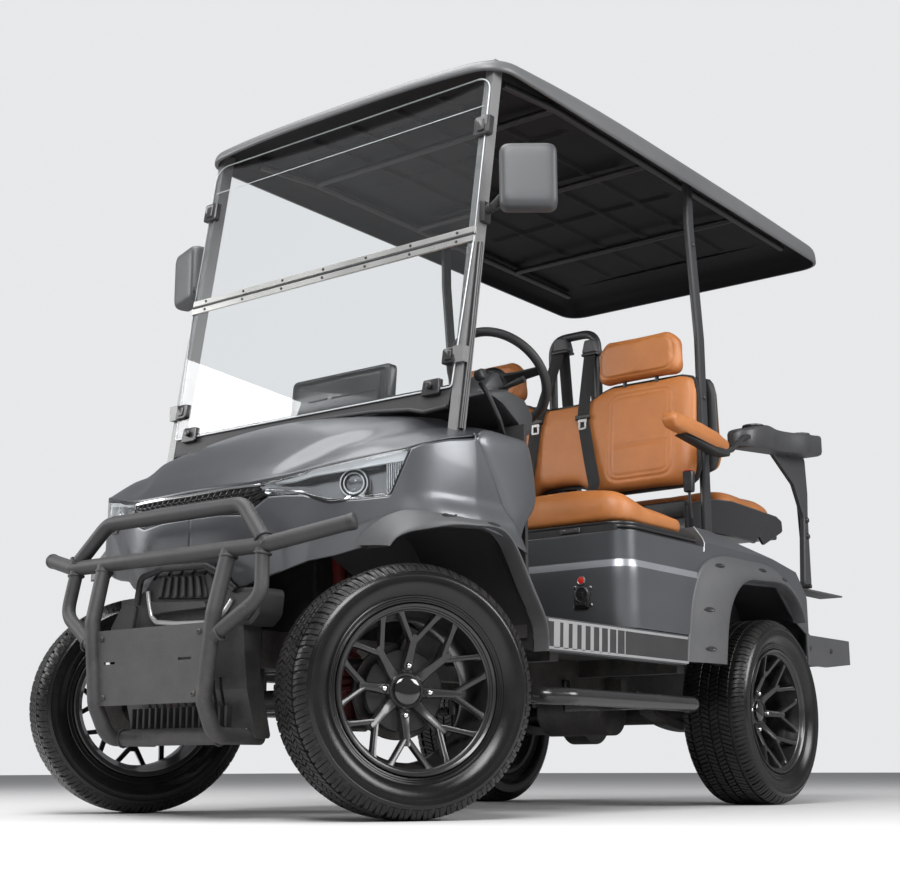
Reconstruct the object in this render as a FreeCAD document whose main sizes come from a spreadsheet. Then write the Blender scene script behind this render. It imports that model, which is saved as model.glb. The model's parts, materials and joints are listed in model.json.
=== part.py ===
import FreeCAD, Part
import Sketcher
import math
import os
import re

V = FreeCAD.Vector
os.makedirs("parts", exist_ok=True)
doc = FreeCAD.newDocument("golf_cart")
sheet = doc.addObject("Spreadsheet::Sheet", "Dimensions")

# Driving dimensions in millimetres and degrees. Heights ("_z") are above the ground, stations
# ("_y") are measured rearwards from the front axle, and half widths from the middle plane.
SIZES = {
    # clearances between pieces that seat on each other, and between a shaft and its hub
    "seat_gap": 0.3, "running_gap": 0.05,
    # wheels, tyres and brakes
    "wheelbase": 1710, "tyre_diameter": 584, "tyre_width": 225, "rim_diameter": 391, "rim_width": 190,
    "rim_wall": 7, "hub_recess": 75, "hub_radius": 62, "spoke_count": 8, "spoke_depth": 22,
    "spoke_half_width": 10, "fork_radius": 104, "lug_circle": 51, "lug_count": 4, "lug_radius": 9,
    "disc_radius": 112, "disc_thickness": 11, "spindle_radius": 22,
    # steering geometry
    "kingpin_x": 430, "wheel_offset": 98, "rear_wheel_x": 536, "rest_steer": 30, "steering_arm": 110,
    "rod_radius": 11, "eye_radius": 15, "upright_height": 118, "arm_height": 71,
    # frame and floor
    "rail_x": 190, "rail_width": 50, "rail_height": 90, "rail_z": 350, "rail_front_y": -215,
    "rail_rear_y": 2200, "jack_pad": 60, "cross_width": 50, "tower_z": 650, "floor_thickness": 12,
    "floor_inset": 25, "firewall_y": 374, "firewall_z": 1000,
    # body panels
    "body_half_width": 600, "body_wall": 5, "nose_y": -257, "nose_bottom_z": 543, "hood_nose_z": 791,
    "hood_rear_z": 1054, "hood_drop": 108, "hood_rear_y": 247, "hood_wall": 4, "arch_top_z": 700,
    "cowl_rear_y": 391, "flare_reach": 42, "flare_wall": 6, "rear_overhang": 375, "rear_deck_z": 845,
    "shoulder_width": 40, "shoulder_drop": 55, "rocker_low_z": 410, "rocker_top_z": 496,
    # lower front and its guard
    "valance_half_width": 215, "valance_front_y": -288, "valance_wall": 8, "vent_pitch": 26,
    "guard_radius": 19, "guard_bend": 55, "guard_front_y": -394, "plate_half_width": 192,
    "plate_top_z": 448, "plate_low_z": 266, "plate_thickness": 6,
    # windscreen, pillars and mirrors
    "glass_thickness": 5, "glass_half_width": 535, "glass_bottom_y": 140, "glass_bottom_z": 1065,
    "glass_hinge_z": 1493, "glass_top_y": 297, "glass_top_z": 1977, "glass_taper": 22,
    "pillar_width": 26, "pillar_depth": 40, "pillar_foot_z": 935,
    "mirror_width": 153, "mirror_height": 184, "mirror_z": 1640, "mirror_depth": 52,
    "mirror_reach": 147, "mirror_y": 259, "mirror_turn": 37,
    "right_mirror_reach": 131, "right_mirror_y": 280, "right_mirror_turn": 20,
    # roof and the uprights behind the front seats
    "roof_overhang": 40, "roof_front_y": 240, "roof_rear_y": 2412, "roof_z": 1990, "roof_edge": 82,
    "roof_wall": 8, "roof_lip": 38, "roof_crown": 98, "strut_y": 1500, "strut_x": 500, "strut_width": 22,
    "hoop_top_z": 1600, "hoop_radius": 15, "cross_bar_z": 1252,
    # seats
    "seat_front_y": 840, "seat_base_top_z": 777, "cushion_half_width": 556, "cushion_length": 425,
    "cushion_thickness": 118, "rear_cushion_thickness": 88, "cushion_front_y": 866,
    "cushion_bottom_z": 802, "back_bottom_z": 999, "back_top_z": 1372, "back_front_y": 1400,
    "back_thickness": 74, "back_lean": 3, "back_half_width": 526, "headrest_top_z": 1536,
    "headrest_gap": 10, "rear_seat_z": 960, "rear_cushion_front_y": 1745, "rear_cushion_length": 400,
    "rear_cushion_half_width": 465, "rear_back_bottom_z": 1062, "rear_back_top_z": 1398,
    "rear_back_y": 1648, "rear_back_lean": 8, "skirt_wall": 8, "skirt_gap": 4, "armrest_width": 50,
    "armrest_gap": 40, "body_corner": 60, "cup_radius": 34, "rear_post_width": 20,
    # step, side tubes and lamps
    "step_z": 478, "step_gap": 236, "step_length": 414, "step_half_width": 452, "step_height": 110,
    "step_wall": 8, "side_step_x": 622, "side_step_z": 296, "side_step_radius": 22,
    "tail_lamp_width": 180, "tail_lamp_height": 60,
    # cab
    "wheel_ring_radius": 154, "wheel_grip_radius": 14, "wheel_centre_y": 660, "wheel_centre_z": 1231,
    "wheel_x": 290, "column_angle": 42, "column_radius": 24, "column_length": 330,
}
for row, (alias, size) in enumerate(SIZES.items(), start=1):
    sheet.set(f"A{row}", alias)
    sheet.set(f"B{row}", str(size))
    sheet.setAlias(f"B{row}", alias)
doc.recompute()


class Sizes:
    pass


d = Sizes()
for alias in SIZES:
    setattr(d, alias, float(sheet.get(alias)))

axle_z = d.tyre_diameter / 2
rear_y = d.wheelbase
rear_body_y = d.wheelbase + d.rear_overhang
step_y = rear_body_y + d.step_gap
step_end_y = step_y + d.step_length
mid_y = (d.guard_front_y + step_end_y) / 2
MIDDLE = "(guard_front_y + wheelbase + rear_overhang + step_gap + step_length) / 2"
nodes = []


# Formulas: the same text gives a number here and a live expression in the document
def number(formula):
    result = sheet.evalExpression(str(formula))
    return float(getattr(result, "Value", result))


def bound(formula):
    def prefixed(match):
        return f"Dimensions.{match.group()}" if match.group() in SIZES else match.group()
    return re.sub(r"[a-z][a-z_0-9]*", prefixed, str(formula))


def node(name, shape):
    item = doc.addObject("Part::Feature", name)
    item.Label = name
    item.Shape = shape
    item.Placement = FreeCAD.Placement(V(0, -mid_y, 0), FreeCAD.Rotation()).multiply(shape.Placement)
    nodes.append(item)
    return item


# PartDesign helpers: a body, a closed profile whose corners are formulas, and its features
def new_body(name):
    body = doc.addObject("PartDesign::Body", name)
    body.Label = name
    body.AllowCompound = True
    body.setExpression("Placement.Base.y", bound(f"-{MIDDLE}"))
    nodes.append(body)
    return body


def plane(body, role):
    return next(item for item in body.Origin.OriginFeatures if item.Role == role)


def outline(body, name, role, corners, offset="0"):
    sketch = body.newObject("Sketcher::SketchObject", name)
    sketch.AttachmentSupport = (plane(body, role), "")
    sketch.MapMode = "FlatFace"
    sketch.setExpression("AttachmentOffset.Base.z", bound(offset))
    places = [V(number(u), number(v), 0) for u, v in corners]
    count = len(corners)
    for i in range(count):
        sketch.addGeometry(Part.LineSegment(places[i], places[(i + 1) % count]), False)
    for i in range(count):
        sketch.addConstraint(Sketcher.Constraint("Coincident", i, 2, (i + 1) % count, 1))
    for i, (u, v) in enumerate(corners):
        for kind, formula, start in (("DistanceX", u, places[i].x), ("DistanceY", v, places[i].y)):
            index = sketch.addConstraint(Sketcher.Constraint(kind, -1, 1, i, 1, start))
            sketch.setExpression(f"Constraints[{index}]", bound(formula))
    return sketch


def circle(body, name, role, u, v, radius, offset="0"):
    sketch = body.newObject("Sketcher::SketchObject", name)
    sketch.AttachmentSupport = (plane(body, role), "")
    sketch.MapMode = "FlatFace"
    sketch.setExpression("AttachmentOffset.Base.z", bound(offset))
    sketch.addGeometry(Part.Circle(V(number(u), number(v), 0), V(0, 0, 1), number(radius)), False)
    for kind, formula in (("DistanceX", u), ("DistanceY", v)):
        index = sketch.addConstraint(Sketcher.Constraint(kind, -1, 1, 0, 3, number(formula)))
        sketch.setExpression(f"Constraints[{index}]", bound(formula))
    index = sketch.addConstraint(Sketcher.Constraint("Radius", 0, number(radius)))
    sketch.setExpression(f"Constraints[{index}]", bound(radius))
    return sketch


def extrude(body, kind, name, sketch, length, symmetric=False, reverse=False):
    feature = body.newObject(f"PartDesign::{kind}", name)
    feature.Profile = sketch
    feature.setExpression("Length", bound(length))
    if symmetric:
        feature.SideType = "Symmetric"
    feature.Reversed = reverse
    doc.recompute()
    return feature


def soften(body, name, feature, radius, axis, wanted=lambda edge: True):
    edges = []
    for i, edge in enumerate(feature.Shape.Edges, start=1):
        along = edge.tangentAt(edge.FirstParameter)
        if abs(along.dot(axis)) > 0.999 and wanted(edge):
            edges.append(f"Edge{i}")
    fillet = body.newObject("PartDesign::Fillet", name)
    fillet.Base = (feature, edges)
    fillet.setExpression("Radius", bound(radius))
    doc.recompute()
    return fillet


def mirror_all(body, name, features):
    copy = body.newObject("PartDesign::Mirrored", name)
    copy.Originals = features
    copy.MirrorPlane = (plane(body, "YZ_Plane"), [""])
    body.Tip = copy
    doc.recompute()
    return copy


ALONG_X, ALONG_Y, ALONG_Z = V(1, 0, 0), V(0, 1, 0), V(0, 0, 1)


# Helpers for shapes that are made outside a body
def rounded_wire(points, radius, closed=True):
    pts = [V(*p) for p in points]
    count = len(pts)
    radii = radius if isinstance(radius, (list, tuple)) else [radius] * count
    starts, ends, mids = [], [], []
    for i, p in enumerate(pts):
        start, mid, end = p, None, p
        if closed or 0 < i < count - 1:
            a, b = pts[i - 1] - p, pts[(i + 1) % count] - p
            la, lb = a.Length, b.Length
            a.normalize()
            b.normalize()
            half = a.getAngle(b) / 2
            if radii[i] > 0 and abs(half - math.pi / 2) > 1e-4:
                trim = min(radii[i] / math.tan(half), 0.49 * la, 0.49 * lb)
                r = trim * math.tan(half)
                centre = p + (a + b).normalize() * (r / math.sin(half))
                start, end = p + a * trim, p + b * trim
                mid = centre + (p - centre).normalize() * r
        starts.append(start)
        mids.append(mid)
        ends.append(end)
    edges = []
    for i in range(count):
        if mids[i] is not None:
            edges.append(Part.Arc(starts[i], mids[i], ends[i]).toShape())
        if closed or i < count - 1:
            following = starts[(i + 1) % count]
            if (following - ends[i]).Length > 1e-6:
                edges.append(Part.LineSegment(ends[i], following).toShape())
    return Part.Wire(edges)


def tube(points, radius, bend=0):
    path = rounded_wire(points, bend, closed=False)
    start = V(*points[0])
    along = (V(*points[1]) - start).normalize()
    disc = Part.Face(Part.Wire([Part.makeCircle(radius, start, along)]))
    return path.makePipe(disc)


def spread(points, axis, value):
    order = {"x": lambda p: (value, p[0], p[1]), "y": lambda p: (p[0], value, p[1]),
             "z": lambda p: (p[0], p[1], value)}
    return [order[axis](p) for p in points]


def prism(points, axis, low, high, radius=0):
    wire = rounded_wire(spread(points, axis, low), radius)
    step = {"x": V(high - low, 0, 0), "y": V(0, high - low, 0), "z": V(0, 0, high - low)}[axis]
    return Part.Face(wire).extrude(step)


def box(x0, x1, y0, y1, z0, z1):
    return Part.makeBox(x1 - x0, y1 - y0, z1 - z0, V(x0, y0, z0))


def mirrored(shape):
    return shape.mirror(V(0, 0, 0), V(1, 0, 0))


def both(shape):
    return Part.makeCompound([shape, mirrored(shape)])


def largest(shape):
    return max(shape.Solids, key=lambda solid: solid.Volume)


def fuse(first, *others):
    result = first.fuse(list(others)).removeSplitter()
    return result.Solids[0] if len(result.Solids) == 1 else result


def mirror_outline(half):
    return half + [(-x, v) for x, v in reversed(half) if abs(x) > 1e-6]


def cylinder(radius, length, base, direction):
    return Part.makeCylinder(radius, length, V(*base), V(*direction))


def revolved(points):
    wire = Part.makePolygon([V(r, 0, u) for r, u in points + points[:1]])
    return Part.Face(wire).revolve(V(0, 0, 0), V(0, 0, 1), 360)


def placed(shape, placement):
    copy = shape.copy()
    copy.Placement = placement.multiply(copy.Placement)
    return copy


# Wheels: u runs outwards along the wheel's axle, r from it. A tyre is a ring of flat facets,
# one of whose corners stands on the ground.
TYRE_FACETS = 48


def tyre_shape():
    half, bead = d.tyre_width / 2, d.rim_diameter / 2 - 13.5
    top, seat = d.tyre_diameter / 2, d.rim_width / 2 - 9.5
    side = [(bead, seat), (bead + 17, seat), (bead + 58, half), (top - 40, half - 3), (top - 16, half - 14),
            (top - 3, half - 34)]
    profile = side + [(top, 0)] + [(r, -u) for r, u in reversed(side)]
    rings = []
    for i in range(TYRE_FACETS):
        angle = 2 * math.pi * i / TYRE_FACETS
        rings.append([V(r * math.cos(angle), r * math.sin(angle), u) for r, u in profile])
    faces = []
    for i in range(TYRE_FACETS):
        here, there = rings[i], rings[(i + 1) % TYRE_FACETS]
        for j in range(len(profile)):
            k = (j + 1) % len(profile)
            faces.append(Part.Face(Part.makePolygon([here[j], here[k], there[k], there[j], here[j]])))
    solid = Part.Solid(Part.Shell(faces))
    if solid.Volume < 0:
        solid.reverse()
    return solid


def rim_barrel():
    lip, edge, wall = d.rim_diameter / 2, d.rim_width / 2, d.rim_wall
    seat, well = lip - 14.2, lip - 30
    return revolved([(lip, edge), (lip, edge - 7), (seat, edge - 9), (seat, edge - 38), (well, edge - 50),
                     (well, -20), (seat, -45), (seat, 9 - edge), (lip, 7 - edge), (lip, -edge),
                     (seat - wall, -edge), (seat - wall, -44), (well - wall, -18), (well - wall, edge - 48),
                     (seat - wall, edge - 34), (seat - wall, edge - 12), (lip - 8, edge)])


# One spoke runs straight out from the hub and forks into two legs that reach the barrel, each
# halfway to the next spoke's leg
def spoke_plan(tip_r):
    edge, fork = d.rim_width / 2, d.fork_radius
    half, leg_half = d.spoke_half_width, 0.65 * d.spoke_half_width
    arm = Part.makeBox(fork - 30, 2 * half, 2 * edge, V(34, -half, -edge))
    legs = []
    for side in (-1, 1):
        angle = math.radians(side * 90 / d.spoke_count)
        tip = V((tip_r + 2) * math.cos(angle), (tip_r + 2) * math.sin(angle), 0)
        root = V(fork - 8, side * 3, 0)
        along = tip - root
        across = V(-along.y, along.x, 0).normalize() * leg_half
        corners = [root - across, tip - across, tip + across, root + across]
        plan = Part.makePolygon([V(c.x, c.y, -edge) for c in corners + corners[:1]])
        legs.append(Part.Face(plan).extrude(V(0, 0, 2 * edge)))
    return arm.fuse(legs)


def rim_shape():
    lip, edge, depth, hub = d.rim_diameter / 2, d.rim_width / 2, d.spoke_depth, d.hub_radius
    face_u, tip_r, tip_u = edge - d.hub_recess, lip - 14.2 - d.rim_wall / 2, edge - 13
    dish = revolved([(0, face_u), (hub, face_u), (tip_r, tip_u), (tip_r, tip_u - depth * 0.8),
                     (hub, face_u - depth), (0, face_u - depth)])
    spokes = []
    for i in range(int(d.spoke_count)):
        spoke = spoke_plan(tip_r)
        spoke.rotate(V(0, 0, 0), V(0, 0, 1), i * 360 / d.spoke_count)
        spokes.append(spoke)
    star = Part.makeCylinder(hub, 2 * edge, V(0, 0, -edge)).fuse(spokes).common(dish)
    cuts = [Part.makeCylinder(d.spindle_radius + d.running_gap, depth - 4, V(0, 0, face_u - depth))]
    for i in range(int(d.lug_count)):
        angle = 2 * math.pi * (i + 0.5) / d.lug_count
        centre = V(d.lug_circle * math.cos(angle), d.lug_circle * math.sin(angle), face_u - 6)
        cuts.append(Part.makeCylinder(d.lug_radius, 30, centre))
    return largest(rim_barrel().fuse(star).removeSplitter().cut(cuts))


# Brake disc on its bell, behind the hub
def brake_disc():
    back_u = hub_back_u - d.seat_gap
    bell = Part.makeCylinder(d.hub_radius + 6, bell_depth, V(0, 0, back_u - bell_depth))
    rotor = Part.makeCylinder(d.disc_radius, d.disc_thickness, V(0, 0, rotor_back_u))
    bore = Part.makeCylinder(d.spindle_radius + 8, 2 * bell_depth + d.disc_thickness,
                             V(0, 0, rotor_back_u - bell_depth / 2))
    return largest(bell.fuse(rotor).cut(bore))


bell_depth = 34
hub_back_u = d.rim_width / 2 - d.hub_recess - d.spoke_depth
spindle_end_u = hub_back_u + d.spoke_depth - 6
rotor_back_u = hub_back_u - d.seat_gap - bell_depth - d.disc_thickness


def wheel_placement(side, front):
    """side is 1 for the cart's left wheel, -1 for the right one."""
    turn = -d.rest_steer if front else 0
    outward = FreeCAD.Rotation(V(0, 1, 0), 90 * side)
    steer = FreeCAD.Rotation(V(0, 0, 1), turn)
    if front:
        offset = steer.multVec(V(side * d.wheel_offset, 0, 0))
        base = V(side * d.kingpin_x, 0, axle_z) + offset
    else:
        base = V(side * d.rear_wheel_x, rear_y, axle_z)
    return FreeCAD.Placement(base, steer.multiply(outward))


tyre, rim = tyre_shape(), Part.makeCompound([rim_shape(), brake_disc()])
for where, side, front in (("front_left", 1, True), ("front_right", -1, True),
                           ("rear_left", 1, False), ("rear_right", -1, False)):
    frame = wheel_placement(side, front)
    node(f"tyre_{where}", placed(tyre, frame))
    node(f"rim_{where}", placed(rim, frame))


# Knuckles: an upright on the kingpin with its spindle, brake caliper and steering arm
def knuckle(side):
    frame = wheel_placement(side, True)
    inner_u = 18 - d.wheel_offset
    spindle = Part.makeCylinder(d.spindle_radius, spindle_end_u + d.wheel_offset, V(0, 0, -d.wheel_offset))
    flange = Part.makeCylinder(48, 14, V(0, 0, inner_u))
    pad = Part.makeBox(70, 86, 40, V(d.disc_radius - 34, -43, rotor_back_u - 12))
    slot = Part.makeBox(80, 90, d.disc_thickness + 12, V(d.disc_radius - 72, -45, rotor_back_u - 6))
    ear = Part.makeBox(84, 50, 14, V(20, -25, inner_u + 10))
    reach = rotor_back_u - 5 - (inner_u + 10)
    ear = ear.fuse(Part.makeBox(20, 50, reach, V(d.disc_radius - 20, -25, inner_u + 10)))
    body = spindle.fuse([flange, pad.cut(slot), ear])
    body.rotate(V(0, 0, 0), V(0, 0, 1), 155 if side > 0 else 25)
    body = placed(body, frame)
    half = d.upright_height / 2
    upright = cylinder(20, d.upright_height, (side * d.kingpin_x, 0, axle_z - half), (0, 0, 1))
    steer = FreeCAD.Rotation(V(0, 0, 1), -d.rest_steer)
    root = V(side * d.kingpin_x, 0, axle_z - arm_drop)
    tip = root + steer.multVec(V(0, d.steering_arm, 0))
    arm = tube([tuple(root), tuple(tip)], d.rod_radius)
    eye = cylinder(d.eye_radius, 2 * d.rod_radius, (tip.x, tip.y, tip.z - d.rod_radius), (0, 0, 1))
    return fuse(body, upright, arm, eye)


# The steering arms run below the tie rod, whose eyes stand over theirs
arm_drop = 2 * d.rod_radius + 12
node("knuckle_left", knuckle(1))
node("knuckle_right", knuckle(-1))
arm_tip = FreeCAD.Rotation(V(0, 0, 1), -d.rest_steer).multVec(V(0, d.steering_arm, 0))


# Tie rods and rack bar: one sliding piece
def tie_rods():
    left, right, r = d.kingpin_x + arm_tip.x, arm_tip.x - d.kingpin_x, d.rod_radius
    bar = cylinder(r, left - right - 20, (right + 10, arm_tip.y, axle_z), (1, 0, 0))
    eyes = [cylinder(d.eye_radius, 2 * r, (x, arm_tip.y, axle_z - r), (0, 0, 1)) for x in (left, right)]
    return fuse(bar, *eyes)


node("tie_rods", tie_rods())

# Frame rails with a lift pad under each
rail_in, rail_out = d.rail_x - d.rail_width / 2, d.rail_x + d.rail_width / 2
rail_top = d.rail_z + d.rail_height
RAIL_OUT, RAIL_TOP = "(rail_x + rail_width / 2)", "(rail_z + rail_height)"
body = new_body("frame_rails")
section = [("rail_x - rail_width / 2", "rail_z"), (RAIL_OUT, "rail_z"), (RAIL_OUT, RAIL_TOP),
           ("rail_x - rail_width / 2", RAIL_TOP)]
rail = extrude(body, "Pad", "rail", outline(body, "rail_section", "XZ_Plane", section, "-rail_front_y"),
               "rail_rear_y - rail_front_y", reverse=True)
pad_section = [("rail_x - jack_pad / 2", "rail_z - 6"), ("rail_x + jack_pad / 2", "rail_z - 6"),
               ("rail_x + jack_pad / 2", "rail_z"), ("rail_x - jack_pad / 2", "rail_z")]
pad_end = outline(body, "pad_section", "XZ_Plane", pad_section, "40 - seat_front_y")
lift = extrude(body, "Pad", "lift_pad", pad_end, "jack_pad", reverse=True)
mirror_all(body, "right_rail", [rail, lift])


# Cross members, steering rack housing, shock towers and outriggers
def cross_members():
    width, low = d.cross_width, d.rail_z + 10
    stations = (d.rail_front_y, -25, d.firewall_y + 30, d.seat_front_y + 340, rear_y + 110,
                d.rail_rear_y - width)
    solids = [box(-rail_in, rail_in, y, y + width, low, rail_top) for y in stations]
    y, bore = arm_tip.y, d.rod_radius + d.running_gap
    rack = cylinder(26, 2 * rail_in, (-rail_in, y, axle_z), (1, 0, 0))
    rack = rack.cut(cylinder(bore, 2 * rail_in + 2, (-rail_in - 1, y, axle_z), (1, 0, 0)))
    feet = [box(x - 20, x + 20, y - 20, y + 20, axle_z + 20, low) for x in (-110, 110)]
    solids.append(fuse(rack, box(-rail_in, rail_in, y - 20, y + 20, low, low + 30), *feet))
    tower = box(rail_out, rail_out + 10, -40, 40, rail_top - 60, d.tower_z)
    tower = fuse(tower, box(rail_out, rail_out + 90, -40, 40, d.tower_z - 10, d.tower_z))
    reach = d.body_half_width - 40
    arms = [box(rail_out, reach, y, y + 40, rail_top - 50, rail_top)
            for y in (d.firewall_y + 126, d.seat_front_y + 340)]
    for solid in [tower] + arms:
        solids += [solid, mirrored(solid)]
    return Part.makeCompound(solids)


node("frame_cross_members", cross_members())


# Front suspension: upper and lower arms on the rails, and a damper in its coil spring
def wishbone(z, radius, spread_y, boss_z):
    pivot_x = rail_out + 13
    legs = [tube([(pivot_x, s * spread_y, z), (d.kingpin_x - 8, s * 6, z)], radius) for s in (-1, 1)]
    boss = cylinder(24, boss_z[1] - boss_z[0], (d.kingpin_x, 0, boss_z[0]), (0, 0, 1))
    pivots = [cylinder(13, 60, (pivot_x, s * spread_y - 30, z), (0, 1, 0)) for s in (-1, 1)]
    return fuse(legs[0], legs[1], boss, *pivots)


arm_low_z, arm_high_z = axle_z - d.arm_height - 1, axle_z + d.arm_height
boss_reach = d.upright_height / 2 + d.seat_gap
seat_top_z = arm_low_z + 1
spring_seat = box(292, 332, -72, 72, arm_low_z - 12, seat_top_z)
lower_arm = fuse(wishbone(arm_low_z, 12, 118, (arm_low_z - 11, axle_z - boss_reach)), spring_seat)
upper_arm = wishbone(arm_high_z, 11, 92, (axle_z + boss_reach, arm_high_z + 10))
node("front_suspension_arms", Part.makeCompound([lower_arm, mirrored(lower_arm), upper_arm,
                                                 mirrored(upper_arm)]))


# The coil is a column of rounded turns between two cups
def coil_over():
    foot, head = V(312, 0, seat_top_z - 12), V(262, 0, d.tower_z)
    axis = (head - foot).normalize()
    body = Part.makeCylinder(19, (head - foot).Length, foot, axis)
    turns, low, pitch, crest = 8, 98, 28, 38
    profile = [(15, low)]
    for i in range(turns):
        profile += [(crest - 9, low + i * pitch), (crest, low + (i + 0.35) * pitch),
                    (crest, low + (i + 0.65) * pitch)]
    profile += [(crest - 9, low + turns * pitch), (15, low + turns * pitch)]
    coil = placed(revolved(profile), FreeCAD.Placement(foot, FreeCAD.Rotation(V(0, 0, 1), axis)))
    cups = [Part.makeCylinder(42, 8, foot + axis * at, axis) for at in (low - 8, low + turns * pitch)]
    column = fuse(body, coil, *cups)
    room = box(200, 400, -60, 60, seat_top_z + d.seat_gap, d.tower_z - 10 - d.seat_gap)
    return largest(column.common(room))


node("front_dampers", both(coil_over()))


# Rear axle with its drive motor, and leaf springs
def rear_axle():
    half = d.rear_wheel_x - d.wheel_offset
    tubes = cylinder(34, 2 * half, (-half, rear_y, axle_z), (1, 0, 0))
    ends = [cylinder(50, 12, (x, rear_y, axle_z), (1, 0, 0)) for x in (-half, half - 12)]
    stub = d.rear_wheel_x + spindle_end_u
    shafts = cylinder(d.spindle_radius, 2 * stub, (-stub, rear_y, axle_z), (1, 0, 0))
    gears = cylinder(96, 90, (-150, rear_y, axle_z), (1, 0, 0))
    motor = cylinder(82, 250, (-130, rear_y - 175, axle_z + 10), (1, 0, 0))
    case = box(-150, -90, rear_y - 175, rear_y, axle_z - 60, axle_z + 60)
    return fuse(tubes, shafts, gears, motor, case, *ends)


node("rear_axle", rear_axle())


def leaf_spring():
    x, low, thick, width = rail_out + 60, axle_z - 34, 9, 50
    leaves = []
    for i, reach in enumerate((360, 270, 180)):
        z = low - thick * i
        rise = 80 * (reach / 360) ** 2
        top = [V(x, rear_y - reach, z + rise), V(x, rear_y, z), V(x, rear_y + reach, z + rise)]
        under = [p - V(0, 0, thick) for p in top]
        edges = [Part.Arc(*top).toShape(), Part.LineSegment(top[2], under[2]).toShape(),
                 Part.Arc(under[2], under[1], under[0]).toShape(),
                 Part.LineSegment(under[0], top[0]).toShape()]
        leaves.append(Part.Face(Part.Wire(edges)).extrude(V(width, 0, 0)))
    eye_y, eye_z = 362, low + 76
    eyes = [cylinder(18, width, (x, rear_y + s * eye_y, eye_z), (1, 0, 0)) for s in (-1, 1)]
    hangers = [box(rail_out, x, rear_y + s * eye_y - 18, rear_y + s * eye_y + 18, eye_z - 18, d.rail_z + 40)
               for s in (-1, 1)]
    return fuse(*leaves, *eyes, *hangers)


node("rear_springs", both(leaf_spring()))

# Floor pan with its firewall and rear tongue, battery block and rockers
floor_top = rail_top + d.floor_thickness
FLOOR_HALF, FLOOR_TOP = "(body_half_width - floor_inset)", "(rail_z + rail_height + floor_thickness)"
body = new_body("floor_pan")
side = [("firewall_y", RAIL_TOP), ("wheelbase - 390", RAIL_TOP), ("wheelbase - 390", FLOOR_TOP),
        ("firewall_y + floor_thickness", FLOOR_TOP), ("firewall_y + floor_thickness", "firewall_z"),
        ("firewall_y", "firewall_z")]
extrude(body, "Pad", "floor_and_wall", outline(body, "floor_side", "YZ_Plane", side), f"2 * {FLOOR_HALF}",
        symmetric=True)
side = [("wheelbase - 391", RAIL_TOP), ("wheelbase + rear_overhang - 6", RAIL_TOP),
        ("wheelbase + rear_overhang - 6", FLOOR_TOP), ("wheelbase - 391", FLOOR_TOP)]
extrude(body, "Pad", "rear_tongue", outline(body, "tongue_side", "YZ_Plane", side), "760", symmetric=True)

body = new_body("battery_pack")
side = [("seat_front_y + 60", FLOOR_TOP), ("seat_front_y + 420", FLOOR_TOP),
        ("seat_front_y + 420", f"{FLOOR_TOP} + 230"), ("seat_front_y + 60", f"{FLOOR_TOP} + 230")]
pack = extrude(body, "Pad", "case", outline(body, "case_side", "YZ_Plane", side), "480", symmetric=True)
soften(body, "case_corners", pack, "12", ALONG_Z)

body = new_body("rocker_panels")
side = [("424", "rocker_low_z"), ("wheelbase - 556", "rocker_low_z"), ("wheelbase - 540", "rocker_top_z"),
        ("408", "rocker_top_z")]
panel_side = outline(body, "panel_side", "YZ_Plane", side, f"{FLOOR_HALF} + seat_gap")
panel = extrude(body, "Pad", "panel", panel_side, "floor_inset + 8 - seat_gap")
pair = mirror_all(body, "right_panel", [panel])
soften(body, "panel_edges", pair, "6", ALONG_X)

# Front body: walls follow one plan curve, the hood is a crowned sheet over them
half_w = d.body_half_width
PLAN = [(0, d.nose_y), (214, d.nose_y + 14), (half_w - 200, d.nose_y + 95), (half_w - 55, d.nose_y + 196),
        (half_w, d.nose_y + 375)]


def plan_face(inset, rear):
    half = [(x - inset * (x / half_w), y + inset * (1 - 0.6 * (x / half_w))) for x, y in PLAN]
    curve = Part.BSplineCurve()
    curve.interpolate([V(-x, y, 0) for x, y in reversed(half[1:])] + [V(x, y, 0) for x, y in half])
    last = V(half[-1][0], half[-1][1], 0)
    corners = [last, V(last.x, rear, 0), V(-last.x, rear, 0), V(-last.x, last.y, 0)]
    edges = [curve.toShape()] + [Part.LineSegment(corners[i], corners[i + 1]).toShape() for i in range(3)]
    return Part.Face(Part.Wire(edges))


def plan_block(inset, low, high, rear):
    face = plan_face(inset, rear)
    face.translate(V(0, 0, low))
    return face.extrude(V(0, 0, high - low))


nose = d.nose_y
HOOD_LINE = [(nose - 30, d.hood_nose_z - 30), (nose, d.hood_nose_z), (nose + 72, d.hood_nose_z + 65),
             (nose + 193, d.hood_nose_z + 165), (nose + 422, d.hood_rear_z - 15),
             (d.hood_rear_y, d.hood_rear_z), (d.hood_rear_y + 110, d.hood_rear_z + 8),
             (d.hood_rear_y + 220, d.hood_rear_z + 10)]


def hood_sheet(lower):
    grid = []
    for y, z in HOOD_LINE:
        row = []
        for i in range(-5, 6):
            x = i / 5 * (half_w + 20)
            row.append(V(x, y, z - lower - d.hood_drop * abs(x / half_w) ** 2.13))
        grid.append(row)
    surface = Part.BSplineSurface()
    surface.interpolate(grid)
    return surface.toShape()


below_hood = hood_sheet(d.hood_wall + d.seat_gap).extrude(V(0, 0, -700))
hood_band = hood_sheet(0).extrude(V(0, 0, -d.hood_wall))
hood = hood_band.common(plan_block(0, 600, d.hood_rear_z + 150, d.hood_rear_y))
node("hood", largest(hood))

LAMP = [(206, d.hood_nose_z - 3), (half_w - 52, d.hood_nose_z + 81), (half_w - 86, 756), (302, 758)]
GRILLE = mirror_outline([(200, d.hood_nose_z - 8), (262, 742), (238, 728)])


def lamp_prism(side, grow):
    cx = sum(p[0] for p in LAMP) / 4
    cz = sum(p[1] for p in LAMP) / 4
    points = [(side * (cx + (x - cx) * grow), cz + (z - cz) * grow) for x, z in LAMP]
    return prism(points, "y", nose - 60, 60, 8)


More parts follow.
